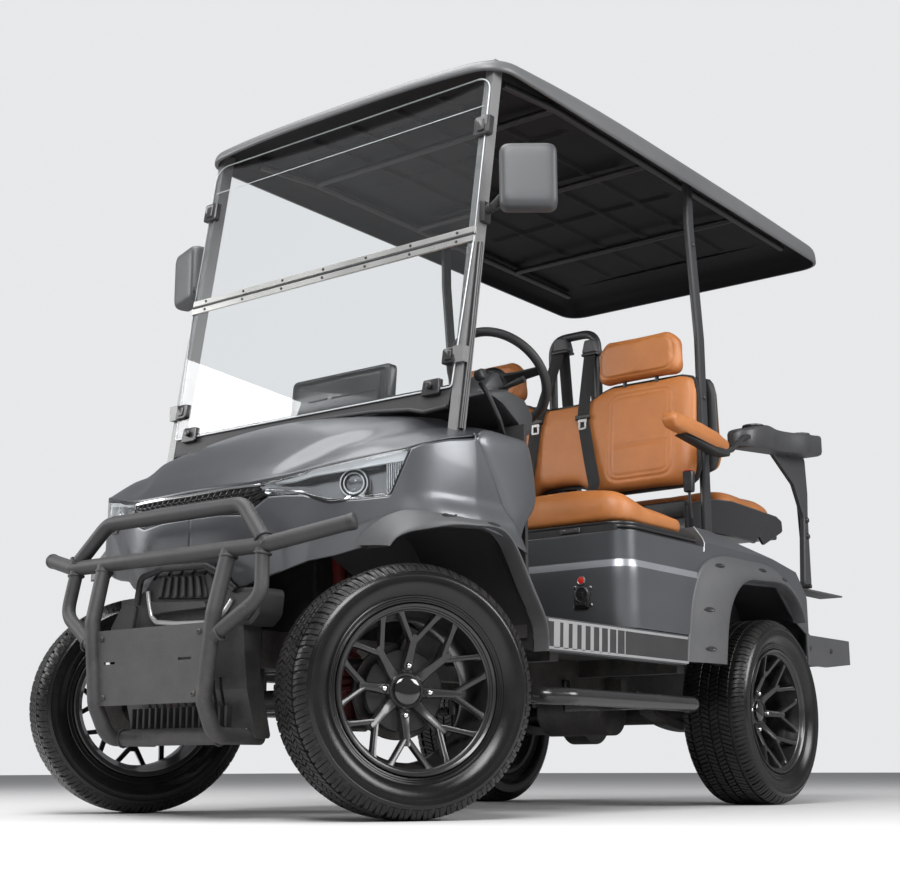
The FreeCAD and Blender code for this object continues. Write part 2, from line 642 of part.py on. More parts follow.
outer = plan_block(0, d.nose_bottom_z, d.hood_rear_z + 46, d.cowl_rear_y)
inner = plan_block(d.body_wall, d.nose_bottom_z - 10, d.hood_rear_z + 56, d.cowl_rear_y + 10)
wheel_house = box(-half_w - 100, half_w + 100, -114, d.firewall_y - 20, 400, d.arch_top_z - 12)
below_nose = prism(mirror_outline([(0, 606), (104, 606), (128, 582), (138, 556), (172, d.nose_bottom_z),
                                   (276, 575), (386, 625), (491, 677), (560, 688), (700, 688), (700, 400),
                                   (0, 400)]), "y", nose - 60, -100)
cowl = outer.cut(inner).common(below_hood).cut([wheel_house, below_nose])
cowl = cowl.cut([lamp_prism(1, 1), lamp_prism(-1, 1), prism(GRILLE, "y", nose - 60, -150, 6)])
node("front_cowl", largest(cowl))


def ring(out_inset, in_inset):
    return plan_block(out_inset, 600, 1150, 100).cut(plan_block(in_inset, 590, 1160, 110))


lens_band = ring(0.5, 3.5).common(below_hood)
lenses = [largest(lens_band.common(lamp_prism(s, 0.985))) for s in (1, -1)]
node("headlamp_lenses", Part.makeCompound(lenses))
cup_band = ring(3.5 + d.seat_gap, 60).common(below_hood)
cup_void = ring(3.5 + d.seat_gap, 54).common(below_hood)
cups = [cup_band.common(lamp_prism(s, 0.985)).cut(cup_void.common(lamp_prism(s, 0.93))) for s in (1, -1)]
node("headlamps", Part.makeCompound([largest(cup) for cup in cups]))


# Grille: a curved sheet behind the nose opening, with three rows of slanted slots
def grille():
    sheet_band = ring(d.body_wall + d.seat_gap, d.body_wall + 7)
    border = [(x * 1.02, 756 + (z - 756) * 1.1) for x, z in GRILLE]
    panel = sheet_band.common(prism(border, "y", nose - 60, -150, 5))
    slots = []
    for row in range(3):
        z = 736 + row * 15
        for column in range(-9, 10):
            x = column * 22 + (row % 2) * 11
            if abs(x) < 205 - row * 8:
                slots.append(prism([(x - 8, z), (x + 4, z), (x + 8, z + 10), (x - 4, z + 10)],
                                   "y", nose - 60, -150))
    return largest(panel.common(below_hood).cut(slots))


node("grille", grille())


# Brush guard of bent tube; the same centre lines also make the openings it passes through
guard_y = d.guard_front_y + d.guard_radius


def guard_lower(side, radius):
    leg = tube([(side * 222, -338, 620), (side * 215, guard_y, 470), (side * 190, guard_y, 270),
                (side * 186, guard_y + 40, 190), (side * 186, -185, 190)], radius, d.guard_bend)
    wide = radius - 7
    hanger = box(side * 186 - wide, side * 186 + wide, -185 - 2 * wide, -185, 190, d.rail_z - d.seat_gap)
    return [leg, hanger]


def brush_guard():
    r, bend = d.guard_radius, d.guard_bend
    bar = tube([(-539, -256, 665), (-342, -338, 620), (342, -338, 620), (539, -256, 665)], r, bend)
    hoop = tube([(-346, -338, 618), (-242, -316, 728), (242, -316, 728), (346, -338, 618)], r, bend)
    parts = [hoop, tube([(-186, -300, 190), (186, -300, 190)], r)]
    for s in (-1, 1):
        parts += guard_lower(s, r)
        corner = [(s * 330, -338, 618), (s * 345, -352, 500), (s * 215, guard_y, 415)]
        parts.append(tube(corner, r - 2, bend))
    return fuse(bar, *parts)


# Lower front: a moulded valance with vents, before the frame
def valance():
    y, w, wall = d.valance_front_y, d.valance_half_width, d.valance_wall
    back = d.rail_front_y - 4
    side = [(y + 60, 650), (y, 580), (y + 4, 490), (y + 26, 300), (y + 60, 186), (y + 110, 186),
            (back, 340), (back, 650)]
    inner_side = [(y + 62, 640), (y + wall, 576), (y + wall + 4, 490), (y + wall + 26, 300), (y + 64, 194),
                  (y + 120, 180), (back + 64, 340), (back + 64, 640)]
    shell = prism(side, "x", -w, w, 8).cut(prism(inner_side, "x", wall - w, w - wall))
    cuts = [box(x - 6, x + 6, y - 10, y + 60, 575, 615) for x in (-90, -45, 0, 45, 90)]
    cuts += [box(x - 5, x + 5, y - 10, y + 50, 215, 330)
             for x in (i * d.vent_pitch for i in range(-5, 6))]
    for s in (-1, 1):
        cuts += guard_lower(s, d.guard_radius + 1)
    cuts.append(tube([(-186, -300, 190), (186, -300, 190)], d.guard_radius + 1))
    face = mirror_outline([(0, 100), (w, 100), (w, 534), (166, 534), (124, 552), (98, 580), (98, 602),
                           (0, 602)])
    return largest(shell.common(prism(face, "y", y - 10, back + 80)).cut(cuts))


node("front_valance", valance())
guard = node("brush_guard", brush_guard())

# Guard plate: a blank trapezoid with two slots, notched by the guard's tubes
blank = new_body("plate_blank")
nodes.remove(blank)
face = [("-plate_half_width", "plate_top_z"), ("20 - plate_half_width", "plate_low_z"),
        ("plate_half_width - 20", "plate_low_z"), ("plate_half_width", "plate_top_z")]
PLATE_Y = "-(guard_front_y + guard_radius - plate_thickness / 2)"
extrude(blank, "Pad", "plate", outline(blank, "plate_face", "XZ_Plane", face, PLATE_Y), "plate_thickness",
        reverse=True)
for label, low, high in (("right_slot", -161, -121), ("left_slot", 103, 147)):
    slot = [(low, 365), (high, 365), (high, 371), (low, 371)]
    extrude(blank, "Pocket", label, outline(blank, f"{label}_face", "XZ_Plane", slot, PLATE_Y),
            "plate_thickness")
plate = doc.addObject("Part::Cut", "guard_plate")
plate.Label = "guard_plate"
plate.Base = blank
plate.Tool = guard
nodes.append(plate)


# Wheel flares: an arched lip of constant width standing out from the body
def shrink(points, by):
    centre = sum(p[0] for p in points) / len(points)
    return [(y + by * (1 if y < centre - 60 else -1 if y > centre + 60 else 0), z - by) for y, z in points]


def flare(outer_points, opening_points, station, x_in=half_w + d.seat_gap):
    x_out = half_w + d.flare_reach
    outer_edge = [(y + station, z) for y, z in outer_points]
    opening = [(y + station, z) for y, z in opening_points]
    block = prism(outer_edge + opening[::-1], "x", x_in, x_out, 14)
    inner = [(y + station, z) for y, z in shrink(outer_points, d.flare_wall)]
    under = inner + [(y, z - 2) for y, z in opening[::-1]]
    return block, prism(under, "x", x_in - 1, x_out - d.flare_wall, 10)


FRONT_OUT = [(-140, 630), (-136, 652), (-100, 704), (-10, 721), (90, 715), (226, 698), (288, 648),
             (359, 556), (404, 454), (392, 404)]
FRONT_IN = [(-126, 622), (-116, 641), (-60, 664), (6, 679), (95, 686), (200, 680), (262, 618), (318, 540),
            (374, 450), (374, 404)]
REAR_OUT = [(-553, 420), (-546, 445), (-509, 607), (-431, 716), (-302, 760), (-128, 765), (130, 733),
            (222, 632), (232, 590)]
REAR_IN = [(-356, 420), (-352, 440), (-309, 595), (-205, 684), (88, 698), (212, 604), (218, 590)]
def front_flare():
    block, hollow = flare(FRONT_OUT, FRONT_IN, 0, half_w - 120)
    low, high, rear = 300, 1100, d.cowl_rear_y + 40
    reach, wall = d.flare_reach, d.flare_wall
    skin = block.common(plan_block(-reach, low, high, rear))
    hollow = hollow.common(plan_block(wall - reach, low, high, rear))
    return largest(skin.cut([hollow, plan_block(-d.seat_gap, low, high, rear)]))


def rear_flare():
    block, hollow = flare(REAR_OUT, REAR_IN, rear_y)
    return largest(block.cut(hollow))


node("front_flares", both(front_flare()))
node("rear_flares", both(rear_flare()))


# Rear body: a hollow tub under both seats, open at the wheels, with a sloped shoulder
def rear_block(wall, foot_z):
    w, top = d.body_half_width - wall, d.rear_deck_z - wall
    y0, y1 = d.seat_front_y + wall, rear_body_y - wall
    step = 6 + wall
    side = [(y0, foot_z), (y0, d.seat_base_top_z - wall), (1306, d.seat_base_top_z - wall),
            (1306 + step, top), (1420, top), (1960 - wall / 2, 765 - wall), (y1, 640), (y1, 500),
            (y1 - 60, foot_z)]
    block = prism(side, "x", -w, w, 4 if wall == 0 else 0)
    low = top - d.shoulder_drop
    ends = [d.body_corner - wall] * 4
    block = block.common(prism([(-w, y0), (w, y0), (w, y1), (-w, y1)], "z", 300, top + 1, ends))
    edge = [(w + 1, low), (w - d.shoulder_width, top + 1), (w + 1, top + 1)]
    shoulder = prism(edge, "y", 1306 + wall, y1 + 1)
    return block.cut([shoulder, mirrored(shoulder)])


def rear_body():
    w, t = d.body_half_width, d.body_wall
    shell = rear_block(0, floor_top + d.seat_gap).cut(rear_block(t, rail_top - 60))
    sill_z = d.rocker_top_z + d.seat_gap
    sill = box(w - d.floor_inset, w + 5, d.seat_front_y - 5, 1176, floor_top - 40, sill_z)
    arch = [(rear_y - 356, 380), (rear_y - 309, 595), (rear_y - 205, 684), (rear_y + 88, 698),
            (rear_y + 212, 604), (rear_y + 310, 560), (rear_y + 316, 380)]
    cutter = prism(arch, "x", d.rear_wheel_x - 151, w + 5)
    lid = box(70 - w, w - 70, d.seat_front_y + 55, 1225, d.seat_base_top_z - 20, d.seat_base_top_z + 20)
    return largest(shell.cut([cutter, mirrored(cutter), lid, sill, mirrored(sill)]))


node("rear_body", rear_body())


# Cab: dashboard, column, steering wheel and pedals
def dashboard():
    wall = d.firewall_y + d.floor_thickness + 0.5
    side = [(252, 1062), (262, 1076), (330, 1092), (420, 1080), (462, 1040), (455, 990), (400, 962),
            (wall, 930), (wall, d.firewall_z + 4), (d.firewall_y - 2, d.firewall_z + 4), (300, 1050)]
    body = prism(side, "x", -d.glass_half_width - 17, d.glass_half_width + 17, 0)
    screen = prism([(262, 1066), (276, 1210), (292, 1216), (318, 1078)], "x", -171, 200, 6)
    return fuse(body, screen)


node("dashboard", dashboard())

column_angle = math.radians(d.column_angle)
along = V(0, math.cos(column_angle), math.sin(column_angle))
ring_centre = V(d.wheel_x, d.wheel_centre_y, d.wheel_centre_z)
hub_depth = 44


def steering_wheel():
    r, grip = d.wheel_ring_radius, d.wheel_grip_radius
    parts = [Part.makeCylinder(46, hub_depth - 10, V(0, 0, -hub_depth))]
    for angle in (0, 180, 90):
        arm = tube([(36, 0, -26), (r - 40, 0, -22), (r, 0, 0)], 9, 20)
        arm.rotate(V(0, 0, 0), V(0, 0, 1), angle)
        parts.append(arm)
    wheel = fuse(Part.makeTorus(r, grip), *parts)
    turn = FreeCAD.Rotation(V(1, 0, 0), -(90 - d.column_angle))
    return placed(wheel, FreeCAD.Placement(ring_centre, turn))


node("steering_wheel", steering_wheel())


def steering_column():
    top = ring_centre - along * (hub_depth + d.seat_gap)
    foot = top - along * d.column_length
    shaft = Part.makeCylinder(d.column_radius, d.column_length, foot, along)
    turn = FreeCAD.Rotation(V(0, 0, 1), along)
    cover = prism([(-52, -40), (52, -40), (44, 46), (-44, 46)], "z", -150, 0, 14)
    cover = placed(cover, FreeCAD.Placement(top, turn))
    stalk = tube([tuple(top - along * 50), tuple(top - along * 35 + V(120, 0, 20))], 7)
    return largest(fuse(shaft, cover, stalk).cut(dashboard()))


node("steering_column", steering_column())


def pedals():
    solids = []
    wall = d.firewall_y + d.floor_thickness
    for x, width in ((d.wheel_x - 130, 62), (d.wheel_x + 30, 92)):
        lever = prism([(wall, 700), (wall, 730), (wall + 110, 640), (wall + 150, 560), (wall + 132, 552),
                       (wall + 96, 628)], "x", x - 6, x + 6, 4)
        pad = prism([(wall + 118, 610), (wall + 128, 616), (wall + 176, 536), (wall + 166, 530)],
                    "x", x - width / 2, x + width / 2, 3)
        solids.append(fuse(lever, pad))
    return Part.makeCompound(solids)


node("pedals", pedals())

# Windscreen: two panes hinged in the middle, held on two leaning pillars
lean = (d.glass_top_y - d.glass_bottom_y) / (d.glass_top_z - d.glass_bottom_z)
hinge_gap = 3


def glass_y(z):
    return d.glass_bottom_y + (z - d.glass_bottom_z) * lean


glass_w = d.glass_half_width


def pane(z0, z1, half0, half1, radius):
    corners = [(-half0, glass_y(z0), z0), (half0, glass_y(z0), z0), (half1, glass_y(z1), z1),
               (-half1, glass_y(z1), z1)]
    face = Part.Face(rounded_wire(corners, radius))
    normal = V(0, 1, -lean).normalize()
    return face.extrude(normal * d.glass_thickness)


node("windscreen_lower", pane(d.glass_bottom_z, d.glass_hinge_z - hinge_gap, glass_w - d.glass_taper,
                              glass_w, [12, 12, 3, 3]))
node("windscreen_upper", pane(d.glass_hinge_z + hinge_gap, d.glass_top_z, glass_w, glass_w, [3, 3, 45, 45]))


# Roof: a moulded shell with a turned-down edge
def roof_outline(inset, z):
    w, y0, y1 = glass_w + d.roof_overhang - inset, d.roof_front_y + inset, d.roof_rear_y - inset
    points = [(-w, y0 + 40, z), (-w * 0.55, y0 + 6, z), (0, y0, z), (w * 0.55, y0 + 6, z), (w, y0 + 40, z),
              (w, y1, z), (-w, y1, z)]
    corner, bow = 90 - inset * 0.3, 600
    return rounded_wire(points, [corner, bow, bow, bow, corner, corner, corner])


def roof_block(wall, low):
    z = d.roof_z - wall
    block = Part.makeLoft([roof_outline(wall, low), roof_outline(wall + 4, z + d.roof_edge * 0.6),
                           roof_outline(wall + 34, z + d.roof_edge),
                           roof_outline(180, z + d.roof_crown)], True, True)
    front, rear, bow = d.roof_front_y - 20, d.roof_rear_y + 20, 2500
    side = [(front, low), (front, z + d.roof_lip), (front + 190, z + 61), (front + 620, z + 92),
            (rear - 720, z + d.roof_crown), (rear, z + d.roof_crown - 12), (rear, low)]
    return block.common(prism(side, "x", -rear, rear, [0, 0, bow, bow, bow, 0, 0]))


roof = largest(roof_block(0, d.roof_z).cut(roof_block(d.roof_wall, d.roof_z - 2)))
node("roof", roof)

pillar_x0 = glass_w - d.pillar_width + 4
pillar_x1 = pillar_x0 + d.pillar_width


def pillar():
    z0, z1 = d.pillar_foot_z, d.roof_z + d.roof_edge
    gap, depth = d.glass_thickness + d.seat_gap + 0.2, d.pillar_depth
    side = [(glass_y(z0) + gap, z0), (glass_y(z1) + gap, z1), (glass_y(z1) + gap + depth, z1),
            (glass_y(z0) + gap + depth, z0)]
    post = prism(side, "x", pillar_x0, pillar_x1)
    clip_z = (d.glass_top_z - 158, d.glass_bottom_z + 85)
    post = post.fuse([box(pillar_x0 + 2, glass_w + 12, glass_y(z) - 9, glass_y(z) + 20, z - 22, z + 22)
                      for z in clip_z])
    for z in clip_z:
        post = post.cut(pane(z - 60, z + 60, glass_w + 0.4, glass_w + 0.4, 0))
    return largest(largest(post).cut([below_hood.fuse(hood_band), roof]))


node("windscreen_pillars", both(pillar()))


def mirror(reach, station, turned):
    half, z0, z1 = d.mirror_width / 2, d.mirror_z - d.mirror_height / 2, d.mirror_z + d.mirror_height / 2
    rim_wall, depth = 6, d.mirror_depth
    shell = prism([(-half, z0), (half, z0), (half, z1), (-half, z1)], "y", 0, depth, 26)
    shell = shell.makeFillet(14, [e for e in shell.Edges if abs(e.BoundBox.YMax) < 0.01])
    face = [(rim_wall - half, z0 + rim_wall), (half - rim_wall, z0 + rim_wall),
            (half - rim_wall, z1 - rim_wall), (rim_wall - half, z1 - rim_wall)]
    shell = shell.cut(prism(face, "y", depth - 8, depth + 2, 20))
    turn = FreeCAD.Rotation(V(0, 0, 1), turned)
    middle = V(glass_w + reach, station, 0)
    shell = placed(shell, FreeCAD.Placement(middle, turn))
    inner = middle + turn.multVec(V(20 - half, 32, 0))
    arm_z = d.mirror_z - 76
    root, back_y = pillar_x1 + d.seat_gap, glass_y(arm_z) + 25
    stem = tube([(root - 8, back_y, arm_z), (root + 22, back_y + 3, arm_z + 6),
                 (inner.x, inner.y, d.mirror_z - 34)], 12, 12)
    stem = stem.cut(box(root - 40, root, 0, 400, arm_z - 60, arm_z + 60))
    return largest(fuse(shell, stem))


left_mirror = mirror(d.mirror_reach, d.mirror_y, d.mirror_turn)
right_mirror = mirror(d.right_mirror_reach, d.right_mirror_y, d.right_mirror_turn)
node("mirrors", Part.makeCompound([left_mirror, mirrored(right_mirror)]))


# Uprights behind the front seats
rear_seat_top = d.rear_seat_z - d.seat_gap


def back_face_y(z):
    rise = (z - d.back_bottom_z) / (d.back_top_z - d.back_bottom_z)
    return d.back_front_y + d.back_thickness + d.back_lean * rise


def uprights():
    y, x = d.strut_y, d.strut_x
    top = d.roof_z + d.roof_edge
    side = [(y - 22, 800), (y - 22, 1500), (y - 66, 1880), (y - 70, top), (y - 22, top), (y - 22, 1880),
            (y + 18, 1500), (y + 18, 800)]
    strut = prism(side, "x", x, x + d.strut_width, 40)
    foot, top_z = rear_seat_top + d.seat_gap, d.hoop_top_z
    hoop = tube([(-70, y, foot), (-70, y, top_z), (115, y, top_z), (115, y, foot)], d.hoop_radius, 60)
    low, high = d.cross_bar_z - 12, d.cross_bar_z + 12
    bar = box(-x, x, y - 12, y + 12, low, high)
    seat_y = back_face_y(high) + d.seat_gap
    plate_end = rear_back_face - d.seat_gap
    plates = [box(s * 210 - 30, s * 210 + 30, seat_y, plate_end, low, high) for s in (-1, 1)]
    return fuse(bar, strut, mirrored(strut), hoop, *plates)


rear_rise = (d.cross_bar_z + 12 - d.rear_back_bottom_z) / (d.rear_back_top_z - d.rear_back_bottom_z)
rear_back_face = d.rear_back_y - d.back_thickness - d.rear_back_lean * rear_rise
frame = uprights().cut([roof, rear_block(0, 400)])
node("rear_uprights", largest(frame))

# Seats: soft pieces as plain closed solids, the front cushion on a lift-up tray
body = new_body("front_cushion")
side = [("cushion_front_y", "cushion_bottom_z"),
        ("cushion_front_y + cushion_length", "cushion_bottom_z"),
        ("cushion_front_y + cushion_length", "cushion_bottom_z + cushion_thickness"),
        ("cushion_front_y + 60", "cushion_bottom_z + cushion_thickness"),
        ("cushion_front_y", "cushion_bottom_z + cushion_thickness * 0.8")]
pad = extrude(body, "Pad", "pad", outline(body, "pad_side", "YZ_Plane", side), "2 * cushion_half_width",
              symmetric=True)
soften(body, "pad_edges", pad, "20", ALONG_X)

body = new_body("front_seat_tray")
side = [("cushion_front_y", "seat_base_top_z + seat_gap"),
        ("cushion_front_y + cushion_length - 10", "seat_base_top_z + seat_gap"),
        ("cushion_front_y + cushion_length - 10", "cushion_bottom_z - seat_gap"),
        ("cushion_front_y", "cushion_bottom_z - seat_gap")]
extrude(body, "Pad", "tray", outline(body, "tray_side", "YZ_Plane", side), "2 * cushion_half_width - 20",
        symmetric=True)

body = new_body("rear_cushion")
REAR_CUSHION_END = "rear_cushion_front_y + rear_cushion_length"
side = [("rear_cushion_front_y", "rear_seat_z"), (REAR_CUSHION_END, "rear_seat_z"),
        (REAR_CUSHION_END, "rear_seat_z + 60"),
        (f"{REAR_CUSHION_END} - 40", "rear_seat_z + rear_cushion_thickness"),
        ("rear_cushion_front_y", "rear_seat_z + rear_cushion_thickness")]
pad = extrude(body, "Pad", "pad", outline(body, "pad_side", "YZ_Plane", side), "2 * rear_cushion_half_width",
              symmetric=True)
soften(body, "pad_edges", pad, "18", ALONG_X)


def backrest(near, facing, lean, z0, z1, half):
    far = near + facing * d.back_thickness
    side = [(near, z0), (near + facing * 40, z1), (far + facing * lean, z1), (far, z0)]
    slab = prism(side, "x", -half, half, 18)
    face = mirror_outline([(0, z1 - 46), (128, z1 - 34), (176, z1 - 2), (half - 30, z1 - 2),
                           (half, z1 - 60), (half, z0 + 20), (half - 30, z0)])
    window = prism(face, "y", min(near, far) - 60, max(near, far) + 60, 20)
    return largest(slab.common(window))


node("front_backrest", backrest(d.back_front_y, 1, d.back_lean, d.back_bottom_z, d.back_top_z,
                                d.back_half_width))
node("rear_backrest", backrest(d.rear_back_y, -1, d.rear_back_lean, d.rear_back_bottom_z, d.rear_back_top_z,
                               d.back_half_width))

# Headrests on two posts each
body = new_body("headrests")
face = [("151", "back_top_z + headrest_gap"), ("472", "back_top_z + headrest_gap"),
        ("462", "headrest_top_z"), ("161", "headrest_top_z")]
HEADREST_Y = "back_front_y + 26"
pad = extrude(body, "Pad", "pad", outline(body, "pad_face", "XZ_Plane", face, f"-({HEADREST_Y})"), "50",
              reverse=True)
posts = []
for i, x in enumerate(("250", "373")):
    end = circle(body, f"post_{i}_end", "XY_Plane", x, f"{HEADREST_Y} + 34", 7, "back_top_z - 2 + seat_gap")
    posts.append(extrude(body, "Pad", f"post_{i}", end, "headrest_gap + 20"))
pair = mirror_all(body, "right_side", [pad] + posts)
upper_z = d.headrest_top_z - 50
soften(body, "pad_corners", pair, "30", ALONG_Y, lambda e: e.Length > 49 and e.BoundBox.ZMin > upper_z)

# Front armrests on a link from each upright
body = new_body("front_armrests")
ARM_X = "(strut_x + strut_width + armrest_gap)"
side = [("1121", "1130"), ("1250", "1112"), ("1400", "1098"), ("1500", "1104"), ("1500", "1140"),
        ("1420", "1160"), ("1240", "1172"), ("1130", "1168")]
pad = extrude(body, "Pad", "pad", outline(body, "pad_side", "YZ_Plane", side, ARM_X), "armrest_width")
link = [("strut_y - 15", "1108"), ("strut_y", "1108"), ("strut_y", "1132"), ("strut_y - 15", "1132")]
link_side = outline(body, "link_side", "YZ_Plane", link, "strut_x + strut_width + seat_gap")
tab = extrude(body, "Pad", "link", link_side, "armrest_gap + 2")
pair = mirror_all(body, "right_arm", [pad, tab])
soften(body, "pad_ends", pair, "10", ALONG_X, lambda e: e.Length > d.armrest_width - 1)


# Rear seat: base box with side skirts that rise to the cushion, arms with cup pockets on posts
def rear_seat_base():
    half = d.rear_cushion_half_width + d.skirt_gap
    top, rear, wall = rear_seat_top, 2110, d.skirt_wall
    side = [(1430, 846), (1430, top), (rear, top), (rear, 905), (1960, 850), (1930, 790), (1800, 846)]
    shell = prism(side, "x", -half, half)
    shell = shell.cut(box(wall - half, half - wall, 1430 + wall, rear - wall, 780, top - 13))
    skirt = prism([(1437, 860), (1437, 947), (1600, 986), (1758, 1000), (2100, 992), (2138, 980),
                   (2144, 938), (1990, 872), (1955, 902), (1920, 872), (1747, 873)],
                  "x", half, half + wall, 8)
    return largest(fuse(shell, skirt, mirrored(skirt)).cut(rear_block(0, 400)))


node("rear_seat_base", rear_seat_base())
post_x0 = d.rear_cushion_half_width + d.skirt_gap + d.skirt_wall + d.seat_gap
post_x1 = post_x0 + d.rear_post_width


# The cup pockets go straight down into a tray that climbs towards the rear
def rear_arm():
    outline_side = [(1742, 1168), (1742, 1243), (1929, 1281), (2141, 1292), (2341, 1314), (2345, 1240),
                    (2300, 1231), (2141, 1216), (1929, 1195)]
    plan = [(post_x0, 1735), (post_x0 + 50, 1735), (post_x0 + 84, 1800), (post_x0 + 82, 1900),
            (post_x0 + 58, 2000), (post_x0 + 72, 2110), (post_x0 + 96, 2200), (post_x0 + 92, 2300),
            (post_x0 + 52, 2345), (post_x0, 2345)]
    tray = prism(outline_side, "x", post_x0 - 1, post_x0 + 100, 12).common(prism(plan, "z", 1100, 1400, 30))
    pockets = [Part.makeCylinder(d.cup_radius, 160, V(post_x0 + 44, y, z)) for y, z in CUPS]
    post = [(2262, plate_top), (2290, 1010), (2220, 1120), (2010, 1212), (2320, 1240), (2322, 1017),
            (2322, plate_top)]
    bracket = prism(post, "x", post_x0, post_x1, 24)
    foot = box(post_x0, post_x1, 2262, 2322, plate_top, plate_top + 60)
    return largest(fuse(bracket, foot, tray).cut(pockets))


CUPS = [(1850, 1198), (2230, 1238)]
step_top = d.step_z + d.step_height
plate_top = step_top + 158 + d.seat_gap
node("rear_armrests", both(rear_arm()))


# Rear step: a ribbed deck with a raised front lip, box posts under a hinged plate, and carriers
def rear_step():
    w, y0, y1, z, wall = d.step_half_width, step_y, step_end_y, d.step_z, d.step_wall
    top, lip = step_top, step_top + 12
    pan = prism([(y0, z), (y0, lip), (y0 + 40, lip), (y0 + 60, top), (y1, top), (y1, z + 20),
                 (y0 + 200, z)], "x", -w, w)
    void = prism([(y0 + wall, z - 5), (y0 + wall, top - wall), (y1 - wall, top - wall), (y1 - wall, z - 5)],
                 "x", wall - w, w - wall)
    rib_wall = 4
    ribs = [box(x - rib_wall / 2, x + rib_wall / 2, y0 + wall, y1 - wall, z + 40, top - wall)
            for x in (-300, 0, 300)]
    pan = pan.cut(void).fuse([rib.common(void) for rib in ribs])
    half = 20
    bars = [box(s * d.rail_x - half, s * d.rail_x + half, d.rail_rear_y, y0 + wall, rail_top - 50, rail_top)
            for s in (-1, 1)]
    drops = [box(s * d.rail_x - half, s * d.rail_x + half, y0 - 40, y0, rail_top - 50, z + 100)
             for s in (-1, 1)]
    posts, plates = [], []
    for s in (-1, 1):
        posts.append(box(s * 430 - half, s * 430 + half, y0 + 2, y0 + 38, lip, plate_top - 6))
        edge = sorted((s * 410, s * (post_x1 + 2)))
        plates.append(box(*edge, 2255, y0 + 264, plate_top - 6, plate_top - d.seat_gap))
    return fuse(pan, *bars, *drops, *posts, *plates)


node("rear_step", rear_step())


def side_step():
    x, z, r = d.side_step_x, d.side_step_z, d.side_step_radius
    rail_tube = tube([(x - 90, 455, z + 10), (x - 40, 440, z), (x, 500, z), (x, rear_y - 560, z),
                      (x - 40, rear_y - 500, z), (x - 90, rear_y - 515, z + 10)], r, 50)
    legs = [box(rail_out, x, y, y + 30, z - 12, z + 12) for y in (560, 1080)]
    hangs = [box(rail_out, rail_out + 12, y, y + 30, z - 12, rail_top - 60) for y in (560, 1080)]
    return fuse(rail_tube, *legs, *hangs)


node("side_steps", both(side_step()))

body = new_body("tail_lamps")
face = [("body_half_width - 40 - tail_lamp_width", "560"), ("body_half_width - 40", "560"),
        ("body_half_width - 40", "560 + tail_lamp_height"),
        ("body_half_width - 40 - tail_lamp_width", "560 + tail_lamp_height")]
lamp = extrude(body, "Pad", "lens", outline(body, "lens_face", "XZ_Plane", face,
                                            "-(wheelbase + rear_overhang + seat_gap)"), "22", reverse=True)
pair = mirror_all(body, "right_lens", [lamp])
soften(body, "lens_corners", pair, "12", ALONG_Y)

doc.recompute()
for item in doc.Objects:
    if "Invalid" in item.State or "Error" in item.State:
        raise RuntimeError(f"{item.Name} did not compute")
for item in nodes:
    if item.Shape.isNull() or not item.Shape.isValid():
        raise RuntimeError(f"{item.Label} has no valid shape")
    if item.Shape.Volume < 1:
        raise RuntimeError(f"{item.Label} is empty")
for item in nodes:
    item.Shape.exportStep(f"parts/{item.Label}.step")
print(len(nodes), "nodes written")
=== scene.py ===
import json
import math
import bmesh
import bpy
from mathutils import Matrix, Vector


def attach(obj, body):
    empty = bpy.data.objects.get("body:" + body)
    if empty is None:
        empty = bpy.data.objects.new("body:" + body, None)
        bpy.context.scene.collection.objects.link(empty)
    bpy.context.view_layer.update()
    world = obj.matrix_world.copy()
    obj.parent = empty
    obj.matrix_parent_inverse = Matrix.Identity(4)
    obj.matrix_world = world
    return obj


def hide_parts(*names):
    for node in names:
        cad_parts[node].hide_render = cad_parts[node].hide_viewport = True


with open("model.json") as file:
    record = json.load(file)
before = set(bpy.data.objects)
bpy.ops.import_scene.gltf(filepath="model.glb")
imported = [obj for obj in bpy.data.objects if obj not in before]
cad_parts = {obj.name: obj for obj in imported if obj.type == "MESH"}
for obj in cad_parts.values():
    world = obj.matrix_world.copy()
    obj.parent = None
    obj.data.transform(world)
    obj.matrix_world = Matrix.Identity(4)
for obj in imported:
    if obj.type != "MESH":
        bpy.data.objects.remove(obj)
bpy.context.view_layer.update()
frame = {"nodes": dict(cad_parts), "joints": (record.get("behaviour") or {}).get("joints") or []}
joints = {joint["name"]: joint for joint in frame["joints"]}
axleY = joints["steer_left"]["pos_m"][1]  # front axle's station in the row frame
sides = ((1, "Left"), (-1, "Right"))
print("frame loaded")


# Places: millimetres, x to the cart's left, y rearwards from the front axle, z above the ground
def at(x, y, z):
    return Vector((x / 1000, y / 1000 + axleY, z / 1000))


def mix(a, b, t):
    return a + (b - a) * t


def box(u0, u1, v0, v1):
    # the four corners of a rectangle
    return [(u0, v0), (u1, v0), (u1, v1), (u0, v1)]


def span(side, inner, outer):
    # low and high x of something on one side of the cart
    return sorted((side * inner, side * outer))


def smoothStep(low, high, value):
    t = min(1, max(0, (value - low) / (high - low)))
    return t * t * (3 - 2 * t)


def alongLine(points, value):
    # piecewise line through (key, result) pairs
    if value <= points[0][0]:
        return points[0][1]
    for (k0, r0), (k1, r1) in zip(points, points[1:]):
        if value <= k1:
            return mix(r0, r1, (value - k0) / (k1 - k0))
    return points[-1][1]


# Shader groups: each gives masks and heights that vary over the surface
def newGroup(name, inputs, outputs):
    tree = bpy.data.node_groups.new(name, "ShaderNodeTree")
    for label, value in inputs:
        socket = tree.interface.new_socket(label, in_out="INPUT", socket_type="NodeSocketFloat")
        socket.default_value = value
    for label in outputs:
        tree.interface.new_socket(label, in_out="OUTPUT", socket_type="NodeSocketFloat")
    return tree, tree.nodes.new("NodeGroupInput"), tree.nodes.new("NodeGroupOutput")


